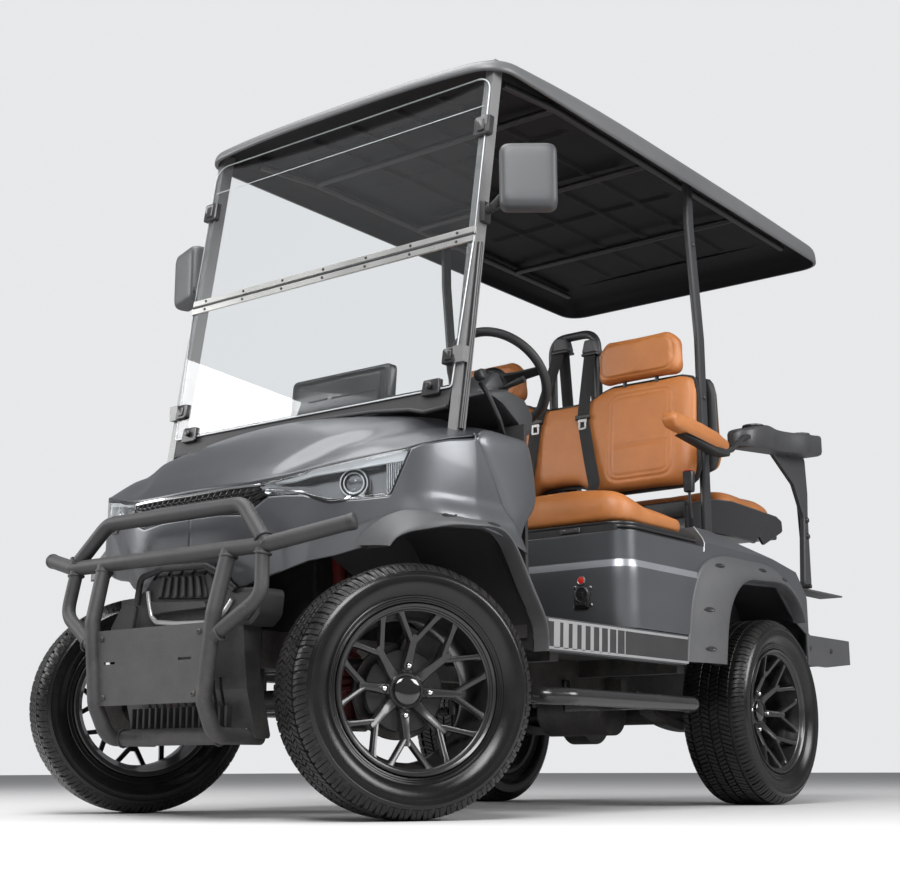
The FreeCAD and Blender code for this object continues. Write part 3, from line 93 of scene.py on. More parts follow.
def mathNode(tree, operation, first, second=None, clamp=False):
    node = tree.nodes.new("ShaderNodeMath")
    node.operation = operation
    node.use_clamp = clamp
    for index, value in enumerate((first, second)):
        if value is None:
            continue
        if isinstance(value, (int, float)):
            node.inputs[index].default_value = value
        else:
            tree.links.new(value, node.inputs[index])
    return node.outputs[0]


def ramp(tree, value, low, high, start=0.0, end=1.0):
    node = tree.nodes.new("ShaderNodeMapRange")
    node.inputs["From Min"].default_value = low
    node.inputs["From Max"].default_value = high
    node.inputs["To Min"].default_value = start
    node.inputs["To Max"].default_value = end
    tree.links.new(value, node.inputs["Value"])
    return node.outputs["Result"]


def noiseNode(tree, scale, detail=2.0, rough=0.5, vector=None, factor=1.0):
    node = tree.nodes.new("ShaderNodeTexNoise")
    node.inputs["Detail"].default_value = detail
    node.inputs["Roughness"].default_value = rough
    if isinstance(scale, (int, float)):
        node.inputs["Scale"].default_value = scale
    else:
        tree.links.new(mathNode(tree, "MULTIPLY", scale, factor), node.inputs["Scale"])
    if vector is not None:
        tree.links.new(vector, node.inputs["Vector"])
    return node.outputs["Fac"]


def objectPlace(tree, stretch=None):
    place = tree.nodes.new("ShaderNodeTexCoord").outputs["Object"]
    if stretch is None:
        return place
    mapping = tree.nodes.new("ShaderNodeMapping")
    mapping.inputs["Scale"].default_value = stretch[:3]
    mapping.inputs["Rotation"].default_value = stretch[3:]
    tree.links.new(place, mapping.inputs["Vector"])
    return mapping.outputs["Vector"]


def buildGrain():
    # pebbled moulding grain: small cells over fine noise
    tree, source, result = newGroup("mouldGrain", [("Scale", 900.0)], ["Height", "Tone"])
    place = objectPlace(tree)
    cells = tree.nodes.new("ShaderNodeTexVoronoi")
    cells.feature = "SMOOTH_F1"
    cells.inputs["Smoothness"].default_value = 0.4
    tree.links.new(place, cells.inputs["Vector"])
    tree.links.new(source.outputs["Scale"], cells.inputs["Scale"])
    fine = noiseNode(tree, source.outputs["Scale"], 3, 0.6, place, 1.7)
    height = mathNode(tree, "ADD", cells.outputs["Distance"], mathNode(tree, "MULTIPLY", fine, 0.35))
    tree.links.new(height, result.inputs["Height"])
    tree.links.new(noiseNode(tree, 3.1, 5, 0.62, place), result.inputs["Tone"])
    return tree


def buildDust():
    # road dust: thick near the ground and in patches above
    tree, source, result = newGroup("roadDust", [("Amount", 0.5), ("Reach", 0.7)], ["Mask"])
    place = objectPlace(tree)
    parts = tree.nodes.new("ShaderNodeSeparateXYZ")
    tree.links.new(place, parts.inputs[0])
    fall = mathNode(tree, "SUBTRACT", 1.0, mathNode(tree, "DIVIDE", parts.outputs["Z"], source.outputs["Reach"]),
                    True)
    patches = ramp(tree, noiseNode(tree, 14, 7, 0.66, place), 0.35, 0.72)
    specks = ramp(tree, noiseNode(tree, 150, 3, 0.7, place), 0.52, 0.7)
    both = mathNode(tree, "MULTIPLY", mathNode(tree, "ADD", fall, 0.08),
                    mathNode(tree, "ADD", patches, mathNode(tree, "MULTIPLY", specks, 0.45)))
    mask = mathNode(tree, "MULTIPLY", both, source.outputs["Amount"], True)
    tree.links.new(mask, result.inputs["Mask"])
    return tree


def buildScuffs():
    # thin scratches in two directions
    tree, source, result = newGroup("fineScuffs", [("Density", 0.5)], ["Mask"])
    streaks = []
    for stretch in ((3, 90, 60, 0.3, 0.2, 0.5), (70, 5, 80, 0.1, 0.7, 1.2)):
        streak = noiseNode(tree, 2.2, 4, 0.7, objectPlace(tree, stretch))
        streaks.append(ramp(tree, streak, 0.63, 0.7))
    patches = ramp(tree, noiseNode(tree, 5, 2, 0.5, objectPlace(tree)), 0.45, 0.65)
    crossed = mathNode(tree, "MULTIPLY", mathNode(tree, "ADD", streaks[0], streaks[1], True), patches)
    tree.links.new(mathNode(tree, "MULTIPLY", crossed, source.outputs["Density"], True), result.inputs["Mask"])
    return tree


groups = {"grain": buildGrain(), "dust": buildDust(), "scuffs": buildScuffs()}

# Finishes: colour, roughness, and how much grain, tone variation, dust and scuffing each has
finishes = {
    "bodyPaint": dict(colour=(0.105, 0.11, 0.118), rough=0.36, metal=0.55, grain=(2600, 0.02), tone=0.05, dust=0.10,
                      coat=0.25),
    "hoodPaint": dict(colour=(0.052, 0.055, 0.061), rough=0.37, metal=0.5, grain=(2600, 0.02), tone=0.05, dust=0.05,
                      coat=0.2),
    "flareGrey": dict(colour=(0.074, 0.076, 0.079), rough=0.46, metal=0.1, grain=(1400, 0.05), tone=0.07, dust=0.2,
                      scuffs=0.15),
    "blackMould": dict(colour=(0.017, 0.017, 0.018), rough=0.52, grain=(1100, 0.10), tone=0.15, dust=0.14,
                       scuffs=0.1),
    "satinBlack": dict(colour=(0.014, 0.014, 0.015), rough=0.33, grain=(1500, 0.03), tone=0.1, dust=0.06),
    "dashMould": dict(colour=(0.028, 0.029, 0.031), rough=0.5, grain=(900, 0.12), tone=0.1),
    "columnGrey": dict(colour=(0.055, 0.057, 0.06), rough=0.45, grain=(1000, 0.08), tone=0.1),
    "gripBlack": dict(colour=(0.02, 0.02, 0.02), rough=0.48, grain=(1300, 0.16), tone=0.1),
    "screenBlack": dict(colour=(0.008, 0.008, 0.01), rough=0.08, tone=0.05, coat=1.0),
    "matRubber": dict(colour=(0.018, 0.018, 0.018), rough=0.75, grain=(700, 0.2), tone=0.2, dust=0.4),
    "tyreTread": dict(colour=(0.006, 0.006, 0.006), rough=0.36, grain=(800, 0.12), tone=0.2, dust=0.05, reach=0.8,
                      shine=0.3),
    "tyreWall": dict(colour=(0.004, 0.004, 0.004), rough=0.2, grain=(1500, 0.05), tone=0.2, dust=0.02, reach=0.8,
                     shine=0.42),
    "rimBlack": dict(colour=(0.008, 0.008, 0.009), rough=0.3, grain=(2400, 0.015), tone=0.05, dust=0.05, coat=0.35),
    # painted shade: the drum plate is darkened to stand in for the shade inside the wheel
    "drumShadeDark": dict(colour=(0.022, 0.022, 0.024), rough=0.4, metal=0.3, grain=(1500, 0.05), tone=0.1, dust=0.1),
    "capBlack": dict(colour=(0.005, 0.005, 0.005), rough=0.08, tone=0.05, coat=1.0),
    "frameBlack": dict(colour=(0.014, 0.014, 0.014), rough=0.42, metal=0.1, grain=(1500, 0.06), tone=0.15, dust=0.4,
                       scuffs=0.2),
    "armSteel": dict(colour=(0.03, 0.03, 0.031), rough=0.45, metal=0.3, grain=(1200, 0.05), tone=0.2, dust=0.45),
    "bareSteel": dict(colour=(0.36, 0.35, 0.34), rough=0.34, metal=1.0, grain=(2200, 0.02), tone=0.2, scuffs=0.4,
                      dust=0.3),
    # painted shade: bare steel darkened far below its own colour to stand in for the shade inside the wheel
    "discSteelShadeDark": dict(colour=(0.08, 0.077, 0.075), rough=0.38, metal=1.0, tone=0.25, scuffs=0.5, dust=0.3),
    "springRed": dict(colour=(0.16, 0.008, 0.008), rough=0.35, tone=0.1, dust=0.25, coat=0.4),
    "guardGrey": dict(colour=(0.036, 0.036, 0.038), rough=0.55, metal=0.25, grain=(1300, 0.08), tone=0.14, dust=0.22,
                      scuffs=0.5),
    "plateGrey": dict(colour=(0.048, 0.048, 0.05), rough=0.5, metal=0.3, grain=(1500, 0.05), tone=0.12, dust=0.16,
                      scuffs=0.6),
    "armMould": dict(colour=(0.045, 0.046, 0.049), rough=0.42, metal=0.1, grain=(1300, 0.06), tone=0.1, dust=0.08),
    "pillarGrey": dict(colour=(0.2, 0.2, 0.2), rough=0.4, metal=0.45, grain=(1600, 0.04), tone=0.08, scuffs=0.2),
    "hingeAlloy": dict(colour=(0.62, 0.62, 0.6), rough=0.3, metal=0.9, grain=(2000, 0.02), tone=0.05),
    "chrome": dict(colour=(0.75, 0.75, 0.76), rough=0.12, metal=1.0, tone=0.04),
    "mirrorShell": dict(colour=(0.06, 0.062, 0.066), rough=0.42, metal=0.1, grain=(1100, 0.1), tone=0.06),
    "mirrorGlass": dict(colour=(0.7, 0.72, 0.74), rough=0.03, metal=1.0, tone=0.02),
    "roofShell": dict(colour=(0.12, 0.122, 0.126), rough=0.42, metal=0.2, grain=(1500, 0.04), tone=0.05, dust=0.06),
    "stepBlack": dict(colour=(0.016, 0.016, 0.017), rough=0.24, metal=0.1, grain=(1400, 0.03), tone=0.1, dust=0.05,
                      coat=0.3),
    "uprightGrey": dict(colour=(0.035, 0.036, 0.038), rough=0.42, metal=0.2, grain=(1400, 0.05), tone=0.08),
    "roofUnder": dict(colour=(0.005, 0.005, 0.0055), rough=0.6, shine=0.2, grain=(900, 0.1), tone=0.12),
    "paneEdge": dict(colour=(0.55, 0.57, 0.58), rough=0.2, tone=0.06),
    "bowlDark": dict(colour=(0.34, 0.34, 0.35), rough=0.2, metal=0.9, tone=0.25),
    "lightBar": dict(colour=(0.86, 0.88, 0.9), rough=0.25, tone=0.03, coat=0.6),
    "tailRed": dict(colour=(0.4, 0.008, 0.008), rough=0.15, tone=0.05, coat=0.9),
    "beltWeb": dict(colour=(0.012, 0.012, 0.013), rough=0.75, grain=(900, 0.1), tone=0.1),
    "caseGrey": dict(colour=(0.05, 0.05, 0.055), rough=0.5, metal=0.3, grain=(1200, 0.06), tone=0.15, dust=0.35),
    # painted highlight: a much lighter copy of the body paint for the seat base's crease band, standing in for its
    # reflections
    "bandHighlightPaint": dict(colour=(0.30, 0.31, 0.33), rough=0.32, metal=0.5, grain=(2600, 0.02), tone=0.05, coat=0.25),
    "stripeSilver": dict(colour=(0.5, 0.5, 0.5), rough=0.34, metal=0.6, tone=0.05, dust=0.12),
    "stripeDark": dict(colour=(0.03, 0.03, 0.032), rough=0.36, tone=0.05, dust=0.12),
    "buttonRed": dict(colour=(0.55, 0.02, 0.015), rough=0.4, tone=0.05),
    "valanceGrey": dict(colour=(0.02, 0.021, 0.022), rough=0.5, grain=(1200, 0.08), tone=0.12, dust=0.2),
}
dustColour = (0.23, 0.21, 0.185)


def placeGroup(tree, which, **values):
    node = tree.nodes.new("ShaderNodeGroup")
    node.node_tree = groups[which]
    for label, value in values.items():
        node.inputs[label].default_value = value
    return node.outputs


def blendColour(tree, mask, first, second):
    node = tree.nodes.new("ShaderNodeMix")
    node.data_type = "RGBA"
    tree.links.new(mask, node.inputs[0])
    for index, value in ((6, first), (7, second)):
        if isinstance(value, tuple):
            node.inputs[index].default_value = (*value, 1)
        else:
            tree.links.new(value, node.inputs[index])
    return node.outputs[2]


def newMaterial(name):
    material = bpy.data.materials.new(name)
    material.use_nodes = True
    tree = material.node_tree
    return material, tree, tree.nodes["Principled BSDF"]


def addBump(tree, shader, height, strength, distance):
    bump = tree.nodes.new("ShaderNodeBump")
    bump.inputs["Strength"].default_value = strength
    bump.inputs["Distance"].default_value = distance
    tree.links.new(height, bump.inputs["Height"])
    tree.links.new(bump.outputs["Normal"], shader.inputs["Normal"])


def makeFinish(name, colour, rough, metal=0.0, grain=None, tone=0.1, dust=0.0, reach=0.8, scuffs=0.0, coat=0.0,
               shine=0.5):
    material, tree, shader = newMaterial(name)
    shader.inputs["Metallic"].default_value = metal
    shader.inputs["Coat Weight"].default_value = coat
    shader.inputs["Specular IOR Level"].default_value = shine
    shader.inputs["Coat Roughness"].default_value = 0.08
    grainOut = placeGroup(tree, "grain", Scale=grain[0] if grain else 1500)
    darker = tuple(c * (1 - tone) for c in colour)
    lighter = tuple(c * (1 + tone) for c in colour)
    base = blendColour(tree, ramp(tree, grainOut["Tone"], 0.3, 0.7), darker, lighter)
    roughness = ramp(tree, grainOut["Tone"], 0.3, 0.7, rough - 0.05 * (rough > 0.1), rough + 0.05)
    if scuffs:
        mask = placeGroup(tree, "scuffs", Density=scuffs)["Mask"]
        base = blendColour(tree, mask, base, tuple(min(0.8, c * 2.2 + 0.05) for c in colour))
        roughness = mathNode(tree, "ADD", roughness, mathNode(tree, "MULTIPLY", mask, 0.15), True)
    if dust:
        mask = placeGroup(tree, "dust", Amount=dust, Reach=reach)["Mask"]
        base = blendColour(tree, mask, base, dustColour)
        roughness = mathNode(tree, "ADD", roughness, mathNode(tree, "MULTIPLY", mask, 0.4), True)
    tree.links.new(base, shader.inputs["Base Color"])
    tree.links.new(roughness, shader.inputs["Roughness"])
    if grain:
        addBump(tree, shader, grainOut["Height"], min(1.0, grain[1] * 4), 0.0004)
    return material


materials = {name: makeFinish(name, **values) for name, values in finishes.items()}


def makeLeather():
    # tan hide: pebble cells, soft wrinkles, darker in the folds
    material, tree, shader = newMaterial("tanLeather")
    place = objectPlace(tree)
    cells = tree.nodes.new("ShaderNodeTexVoronoi")
    cells.feature = "DISTANCE_TO_EDGE"
    cells.inputs["Scale"].default_value = 620
    tree.links.new(place, cells.inputs["Vector"])
    pebble = ramp(tree, cells.outputs["Distance"], 0.0, 0.16)
    wrinkle = noiseNode(tree, 22, 5, 0.55, place)
    tone = noiseNode(tree, 4.5, 4, 0.6, place)
    base = blendColour(tree, ramp(tree, tone, 0.3, 0.7), (0.36, 0.125, 0.032), (0.50, 0.185, 0.052))
    base = blendColour(tree, ramp(tree, pebble, 0.0, 1.0, 0.16, 0.0), base, (0.2, 0.06, 0.015))
    mask = placeGroup(tree, "scuffs", Density=0.08)["Mask"]
    base = blendColour(tree, mask, base, (0.56, 0.24, 0.09))
    tree.links.new(base, shader.inputs["Base Color"])
    tree.links.new(ramp(tree, tone, 0.25, 0.75, 0.36, 0.5), shader.inputs["Roughness"])
    height = mathNode(tree, "ADD", mathNode(tree, "MULTIPLY", pebble, 0.25), mathNode(tree, "MULTIPLY", wrinkle, 1.6))
    addBump(tree, shader, height, 0.35, 0.0009)
    return material


def makeClear(name, colour, rough, haze):
    # clear acrylic or lens, with haze only where it is scuffed
    material, tree, shader = newMaterial(name)
    shader.inputs["Transmission Weight"].default_value = 1.0
    shader.inputs["IOR"].default_value = 1.38
    mask = placeGroup(tree, "scuffs", Density=haze)["Mask"]
    base = blendColour(tree, mask, colour, (0.8, 0.82, 0.84))
    tree.links.new(base, shader.inputs["Base Color"])
    tree.links.new(ramp(tree, mask, 0, 1, rough, 0.22), shader.inputs["Roughness"])
    return material


materials["tanLeather"] = makeLeather()
materials["clearPane"] = makeClear("clearPane", (0.93, 0.95, 0.96), 0.0, 0.06)
materials["clearLens"] = makeClear("clearLens", (0.95, 0.97, 0.98), 0.02, 0.05)
print("finishes ready")


# Mesh helpers: every piece is built in place and rides on a body
def placeObject(name, data):
    item = bpy.data.objects.new(name, data)
    bpy.context.scene.collection.objects.link(item)
    return item


def settle(piece, finish, body="chassis", stands=(), slot=None, smooth=35):
    for label in (finish if isinstance(finish, (list, tuple)) else [finish]):
        piece.data.materials.append(materials[label])
    if smooth:
        for polygon in piece.data.polygons:
            polygon.use_smooth = True
        piece.data.set_sharp_from_angle(angle=math.radians(smooth))
    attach(piece, body)
    if stands:
        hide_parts(*stands)
    return piece


def modify(piece, kind, **values):
    modifier = piece.modifiers.new(kind.lower(), kind)
    for label, value in values.items():
        setattr(modifier, label, value)
    return modifier


def applyModifiers(piece):
    graph = bpy.context.evaluated_depsgraph_get()
    mesh = bpy.data.meshes.new_from_object(piece.evaluated_get(graph))
    piece.modifiers.clear()
    piece.data = mesh


def gridFaces(rows, columns, closeRows, closeColumns):
    faces = []
    for i in range(rows - (0 if closeRows else 1)):
        for j in range(columns - (0 if closeColumns else 1)):
            k, m = (i + 1) % rows, (j + 1) % columns
            faces.append((i * columns + j, i * columns + m, k * columns + m, k * columns + j))
    return faces


class Shape:
    # gathers several simple forms into one mesh
    def __init__(self):
        self.vertices, self.faces = [], []

    def add(self, vertices, faces):
        start = len(self.vertices)
        self.vertices += [Vector(v) for v in vertices]
        self.faces += [tuple(start + i for i in face) for face in faces]

    def grid(self, rows, closeRows=False, closeColumns=False):
        count = len(rows[0])
        self.add([v for row in rows for v in row], gridFaces(len(rows), count, closeRows, closeColumns))

    def loft(self, rows, first=True, flip=False):
        # rings joined into one body, closed at its last end and, unless told not to, at its first
        start, count = len(self.vertices), len(rows[0])
        self.grid(rows, closeColumns=True)
        low, high = tuple(range(start, start + count)), tuple(range(len(self.vertices) - count, len(self.vertices)))
        if first:
            self.faces.append(low if flip else low[::-1])
        self.faces.append(high[::-1] if flip else high)

    def mesh(self, name):
        mesh = bpy.data.meshes.new(name)
        mesh.from_pydata([tuple(v) for v in self.vertices], [], self.faces)
        return mesh

    def piece(self, name, finish, **options):
        mesh = self.mesh(name)
        mesh.validate()
        mesh.update()
        return settle(placeObject(name, mesh), finish, **options)


def roundCorners(points, radius, steps=5, closed=False):
    points = [Vector(p) for p in points]
    count, result = len(points), []
    for i, p in enumerate(points):
        if not closed and i in (0, count - 1):
            result.append(p)
            continue
        a, b = points[i - 1] - p, points[(i + 1) % count] - p
        half = a.angle(b) / 2
        if radius <= 0 or half > 1.5:
            result.append(p)
            continue
        trim = min(radius / math.tan(half), 0.48 * a.length, 0.48 * b.length)
        start, end = p + a.normalized() * trim, p + b.normalized() * trim
        for k in range(steps + 1):
            t = k / steps
            result.append((1 - t) ** 2 * start + 2 * t * (1 - t) * p + t * t * end)
    return result


def flatCorners(points, radius, steps, closed=True):
    # rounded outline through (u, v) pairs
    return roundCorners([Vector((u, v, 0)) for u, v in points], radius, steps, closed)


def sweep(shape, path, section, closed=False, up=None, scales=None):
    # carries a flat section (list of (across, along)) down a path without twist
    count = len(path)
    tangents = []
    for i in range(count):
        before = path[i - 1] if closed or i > 0 else path[i]
        after = path[(i + 1) % count] if closed or i < count - 1 else path[i]
        tangents.append((after - before).normalized())
    side = Vector(up).cross(tangents[0]) if up is not None else tangents[0].orthogonal()
    side.normalize()
    rows = []
    for i, (p, t) in enumerate(zip(path, tangents)):
        if up is not None:
            side = Vector(up).cross(t).normalized() if Vector(up).cross(t).length > 1e-4 else side
        else:
            side = (side - t * side.dot(t)).normalized()
        top = t.cross(side).normalized()
        grow = scales[i] if scales else 1.0
        rows.append([p + side * (u * grow) + top * (v * grow) for u, v in section])
    if closed:
        shape.grid(rows, closeRows=True, closeColumns=True)
    else:
        shape.loft(rows)


def ringSection(radius, steps=16):
    angles = [2 * math.pi * i / steps for i in range(steps)]
    return [(radius * math.cos(a), radius * math.sin(a)) for a in angles]


def slabSection(width, height, bevel):
    w, h = width / 2, height / 2
    return [(w, -h + bevel), (w, h - bevel), (w - bevel, h), (-w + bevel, h),
            (-w, h - bevel), (-w, -h + bevel), (-w + bevel, -h), (w - bevel, -h)]


def tube(shape, points, radius, bend=0.0, steps=16):
    sweep(shape, roundCorners([at(*p) for p in points], bend / 1000, 7), ringSection(radius / 1000, steps))


def local(r, angle, u):
    return Vector((r / 1000 * math.cos(angle), r / 1000 * math.sin(angle), u / 1000))


def lathe(shape, profile, matrix, steps=48, closed=False):
    # profile of (radius, height) in millimetres about the matrix's z axis
    rows = []
    for r, u in profile:
        rows.append([matrix @ local(r, 2 * math.pi * i / steps, u) for i in range(steps)])
    shape.grid(rows, closeRows=closed, closeColumns=True)


def discMatrix(centre, axis):
    return Matrix.Translation(centre) @ Vector(axis).to_track_quat("Z", "Y").to_matrix().to_4x4()


def stud(shape, profile, place, axis, steps):
    # a turned part that stands at a place, along an axis
    lathe(shape, profile, discMatrix(at(*place), axis), steps)


def slab(shape, outline, axis, low, high, radius=0.0, bevel=2.0):
    # a plate with rounded outline and bevelled edges; axis is the one it is thick along
    corners = flatCorners(outline, radius, 4)
    area = sum(a.x * b.y - b.x * a.y for a, b in zip(corners, corners[1:] + corners[:1]))
    if area < 0:
        corners.reverse()
    count = len(corners)
    inset = []
    for i in range(count):
        a = (corners[i] - corners[i - 1]).normalized()
        b = (corners[(i + 1) % count] - corners[i]).normalized()
        across = Vector((-(a.y + b.y), a.x + b.x, 0))
        across = across.normalized() if across.length > 1e-6 else Vector((-a.y, a.x, 0))
        inset.append(corners[i] + across * bevel)
    thick = "xyz".index(axis)

    def place(p, w):
        across = [p.x, p.y]
        across.insert(thick, w)
        return at(*across)

    rows = [[place(p, low) for p in inset], [place(p, low + bevel) for p in corners],
            [place(p, high - bevel) for p in corners], [place(p, high) for p in inset]]
    if axis == "y":
        rows.reverse()
    shape.loft(rows)


def dress(node, finish):
    # a CAD node that keeps its own shape gets its finish
    item = frame["nodes"][node]
    for entry in item.material_slots:
        entry.material = materials[finish]
    if not item.material_slots:
        item.data.materials.append(materials[finish])


# Wheels: built once round their own axle, u outwards, then placed at the four hubs
wheel = {
    "radius": 291.8, "wallTop": 272, "halfWidth": 112, "pitches": 62, "grooveDepth": 7, "spokes": 8, "spokeTurn": 4,
    "forkRadius": 121, "legTip": 181, "legSpread": 15.2, "lugCircle": 57,
    "axleHeight": 292, "kingpinX": 430, "offset": 98, "rearX": 536, "rearY": 1710, "restSteer": 30,
    "leg": [(0, 5.4), (0.12, 6.4), (0.3, 6.4), (0.5, 6.2), (0.7, 6.2), (0.86, 6.8), (0.96, 8.4), (1.0, 10.4)],
}


def buildTyre():
    shape, top = Shape(), wheel["radius"]
    floor = top - wheel["grooveDepth"]
    side = [(184, 78), (190, 84), (196.5, 88.5), (199, 92), (202, 93), (204, 91.5), (207, 92.5), (209, 95), (212, 96),
            (214, 95), (222, 103), (234, 110), (246, 112), (256, 111), (259, 112), (262, 111), (268, 107), (275, 100),
            (280, 93)]
    crown = [(floor, 84), (floor + 0.5, 60), (floor + 0.5, 28), (floor + 0.5, 0)]
    half = side + crown
    lathe(shape, half + [(r, -u) for r, u in reversed(half[:-1])], Matrix.Identity(4), 124, closed=True)
    wall = len(shape.faces)
    count = wheel["pitches"]
    step = 2 * math.pi / count
    shoulder = [(268.5, 107.6), (277, 101), (284.5, 93), (289.5, 84), (291, 74)]
    for i in range(count):
        for s in (1, -1):
            start = (i + (0.5 if s < 0 else 0)) * step
            wide = step * (0.80 if i % 2 else 0.86)
            rows = []
            for k, (r, u) in enumerate(shoulder):
                drop = 5.5 if k else 0.6
                skew = 0.06 * step * k
                a0, a1 = start + skew, start + wide + skew
                inset = 0.035 * step
                ring = [local(r - drop, a0, s * (u - 2 * (k == 0))), local(r, a0 + inset, s * u),
                        local(r, (a0 + a1) / 2 - 0.04 * step, s * u), local(r - 3.2 * (k > 0), (a0 + a1) / 2, s * u),
                        local(r, (a0 + a1) / 2 + 0.04 * step, s * u), local(r, a1 - inset, s * u),
                        local(r - drop, a1, s * (u - 2 * (k == 0)))]
                rows.append(ring if s > 0 else ring[::-1])
            last = rows[-1]
            rows.append([Vector((v.x * 0.978, v.y * 0.978, v.z - s * 0.0015)) for v in last])
            shape.grid(rows)
        for row, (u0, u1, lift) in enumerate(((-67, -37, 0.3), (-31, -6, 0.0), (0, 25, 0.5), (31, 61, 0.8))):
            a0 = (i + lift) * step
            for part in (0, 1):
                b0 = a0 + part * 0.47 * step
                b1 = b0 + 0.40 * step
                skew = (0.35 if row % 2 else -0.35) * step
                corners = [(b0, u0), (b1, u0), (b1 + skew, u1), (b0 + skew, u1)]
                low = [local(floor - 0.5, a, u) for a, u in corners]
                chamfer = [local(top - 1.4, a, u) for a, u in corners]
                middleA = sum(a for a, u in corners) / 4
                middleU = (u0 + u1) / 2
                flat = [local(top, middleA + (a - middleA) * 0.9, middleU + (u - middleU) * 0.93) for a, u in corners]
                shape.loft([low, chamfer, flat], first=False)
    return shape, wall


def tyreMesh():
    # blocks and crown in the tread's finish, the sides below them in the wall's
    shape, wall = buildTyre()
    mesh = shape.mesh("tyre")
    for finish in ("tyreTread", "tyreWall"):
        mesh.materials.append(materials[finish])
    for polygon in mesh.polygons:
        r = math.hypot(polygon.center.x, polygon.center.y) * 1000
        polygon.material_index = int(polygon.index < wall and r < wheel["wallTop"])
        polygon.use_smooth = True
    tidyNormals(mesh)
    return mesh


def tidyNormals(mesh):
    work = bmesh.new()
    work.from_mesh(mesh)
    bmesh.ops.recalc_face_normals(work, faces=work.faces)
    work.to_mesh(mesh)
    work.free()
    mesh.update()
    mesh.set_sharp_from_angle(angle=math.radians(32))


def shapeMesh(name, shape, finish):
    mesh = shape.mesh(name)
    mesh.materials.append(materials[finish])
    for polygon in mesh.polygons:
        polygon.use_smooth = True
    tidyNormals(mesh)
    return mesh


def bar(shape, stations):
    # a flat-topped, chamfered bar through (place, across, half width, depth) stations
    rows = []
    for place, across, w, depth in stations:
        rows.append([place + across * (a / 1000) + Vector((0, 0, h / 1000)) for a, h in
                     ((-w, -depth), (-w * 1.02, -4.5), (-w * 0.8, -0.9), (-w * 0.34, 0), (w * 0.34, 0),
                      (w * 0.8, -0.9),
                      (w * 1.02, -4.5), (w, -depth))])
    shape.loft(rows, first=False)


def buildRim():
    shape = Shape()
    barrel = [(181, -86), (195.3, -88), (195.3, -93), (192, -94.5), (182, -92), (178, -70), (166, -40), (164, 22),
              (172, 44), (176, 62), (178.5, 74), (179.5, 81), (182.5, 83), (184, 86), (187, 87), (188.5, 90.5),
              (191, 92),
              (194, 94.5), (195.4, 93), (195.4, 87), (188, 84), (181, 80), (170, 40), (168, -40), (180, -70)]
    lathe(shape, barrel, Matrix.Identity(4), 96, closed=True)

    def dish(r):
        return 20 + max(0, (r - 58) / (184 - 58)) ** 0.92 * 60

    for i in range(wheel["spokes"]):
        turn = 2 * math.pi * i / wheel["spokes"]
        out = Vector((math.cos(turn), math.sin(turn), 0))
        across = Vector((-out.y, out.x, 0))
        fork = wheel["forkRadius"]
        arm = []
        for r, w in ((26, 13.5), (50, 13.2), (66, 11.8), (82, 10.4), (100, 9.8), (fork - 2, 10.4), (fork + 6, 6.0)):
            arm.append((out * (r / 1000) + Vector((0, 0, dish(r) / 1000)), across, w, 24))
        bar(shape, arm)
        for s in (-1, 1):
            end = turn + s * math.radians(wheel["legSpread"])
            tip = Vector((math.cos(end), math.sin(end), 0)) * (wheel["legTip"] / 1000)
            root = out * ((fork - 9) / 1000) + across * (s * 0.0035)
            along = (tip - root).normalized()
            side = Vector((-along.y, along.x, 0))
            leg = []
            for t, width in wheel["leg"]:
                p = root.lerp(tip, t)
                height = dish(p.length * 1000) - 0.5 * math.sin(math.pi * t)
                leg.append((p + Vector((0, 0, height / 1000)), side, width, 19))
            bar(shape, leg)
    lathe(shape, [(0.1, 21.5), (33, 21.5), (36, 23), (40, 23), (43, 20.5), (46, 14), (48, -2), (0.1, -2)],
          Matrix.Identity(4), 64)
    for i in range(4):
        angle = math.pi / 2 * i
        boss = Matrix.Translation(local(wheel["lugCircle"], angle, 0))
        lathe(shape, [(13, 6), (13.4, 19), (12.2, 21.8), (10.4, 21.8), (9.8, 20), (9.6, 8)], boss, 24)
    return shape


def buildLugs():
    shape = Shape()
    for i in range(4):
        place = Matrix.Translation(local(wheel["lugCircle"], math.pi / 2 * i, 0))
        lathe(shape, [(7.6, 8), (7.6, 24), (7.1, 27.5), (5.4, 30.2), (2.8, 31.6), (0.1, 32)], place, 12)
        lathe(shape, [(9.4, 9), (9.4, 13), (8.4, 14.5), (7.4, 14.5)], place, 24)
    return shape


def buildFlange():
    # the drum plate behind the spokes, with four notches in its edge
    shape = Shape()
    outline = []
    for i in range(96):
        angle = 2 * math.pi * i / 96
        notch = abs(((angle / (math.pi / 4)) % 1) - 0.5) > 0.36
        outline.append((88 if notch else 97, angle))
    rows = [[local(20, a, 3) for r, a in outline], [local(r - 2.5, a, 3) for r, a in outline],
            [local(r, a, 0.5) for r, a in outline], [local(r, a, -12) for r, a in outline]]
    shape.grid(rows, closeColumns=True)
    lathe(shape, [(70, -10), (72, -36)], Matrix.Identity(4), 48)
    return shape


def buildDisc():
    shape = Shape()
    lathe(shape, [(60, -36.4), (68, -37), (111, -37), (112, -38), (112, -46), (111, -47.2), (60, -47.2)],
          Matrix.Identity(4), 72, closed=True)
    return shape


wheelMeshes = {"tyre": tyreMesh()}
for part, build, finish in (("wheelRim", buildRim, "rimBlack"), ("lugNuts", buildLugs, "chrome"),
                            ("drumPlate", buildFlange, "drumShadeDark"), ("brakeDisc", buildDisc, "discSteelShadeDark")):
    wheelMeshes[part] = shapeMesh(part, build(), finish)
capShape = Shape()
lathe(capShape, [(33, 20), (33.5, 27), (32.4, 30), (29, 32.5), (20, 34.4), (10, 35.2), (0.1, 35.4)],
      Matrix.Identity(4), 48)
wheelMeshes["hubCap"] = shapeMesh("hubCap", capShape, "capBlack")


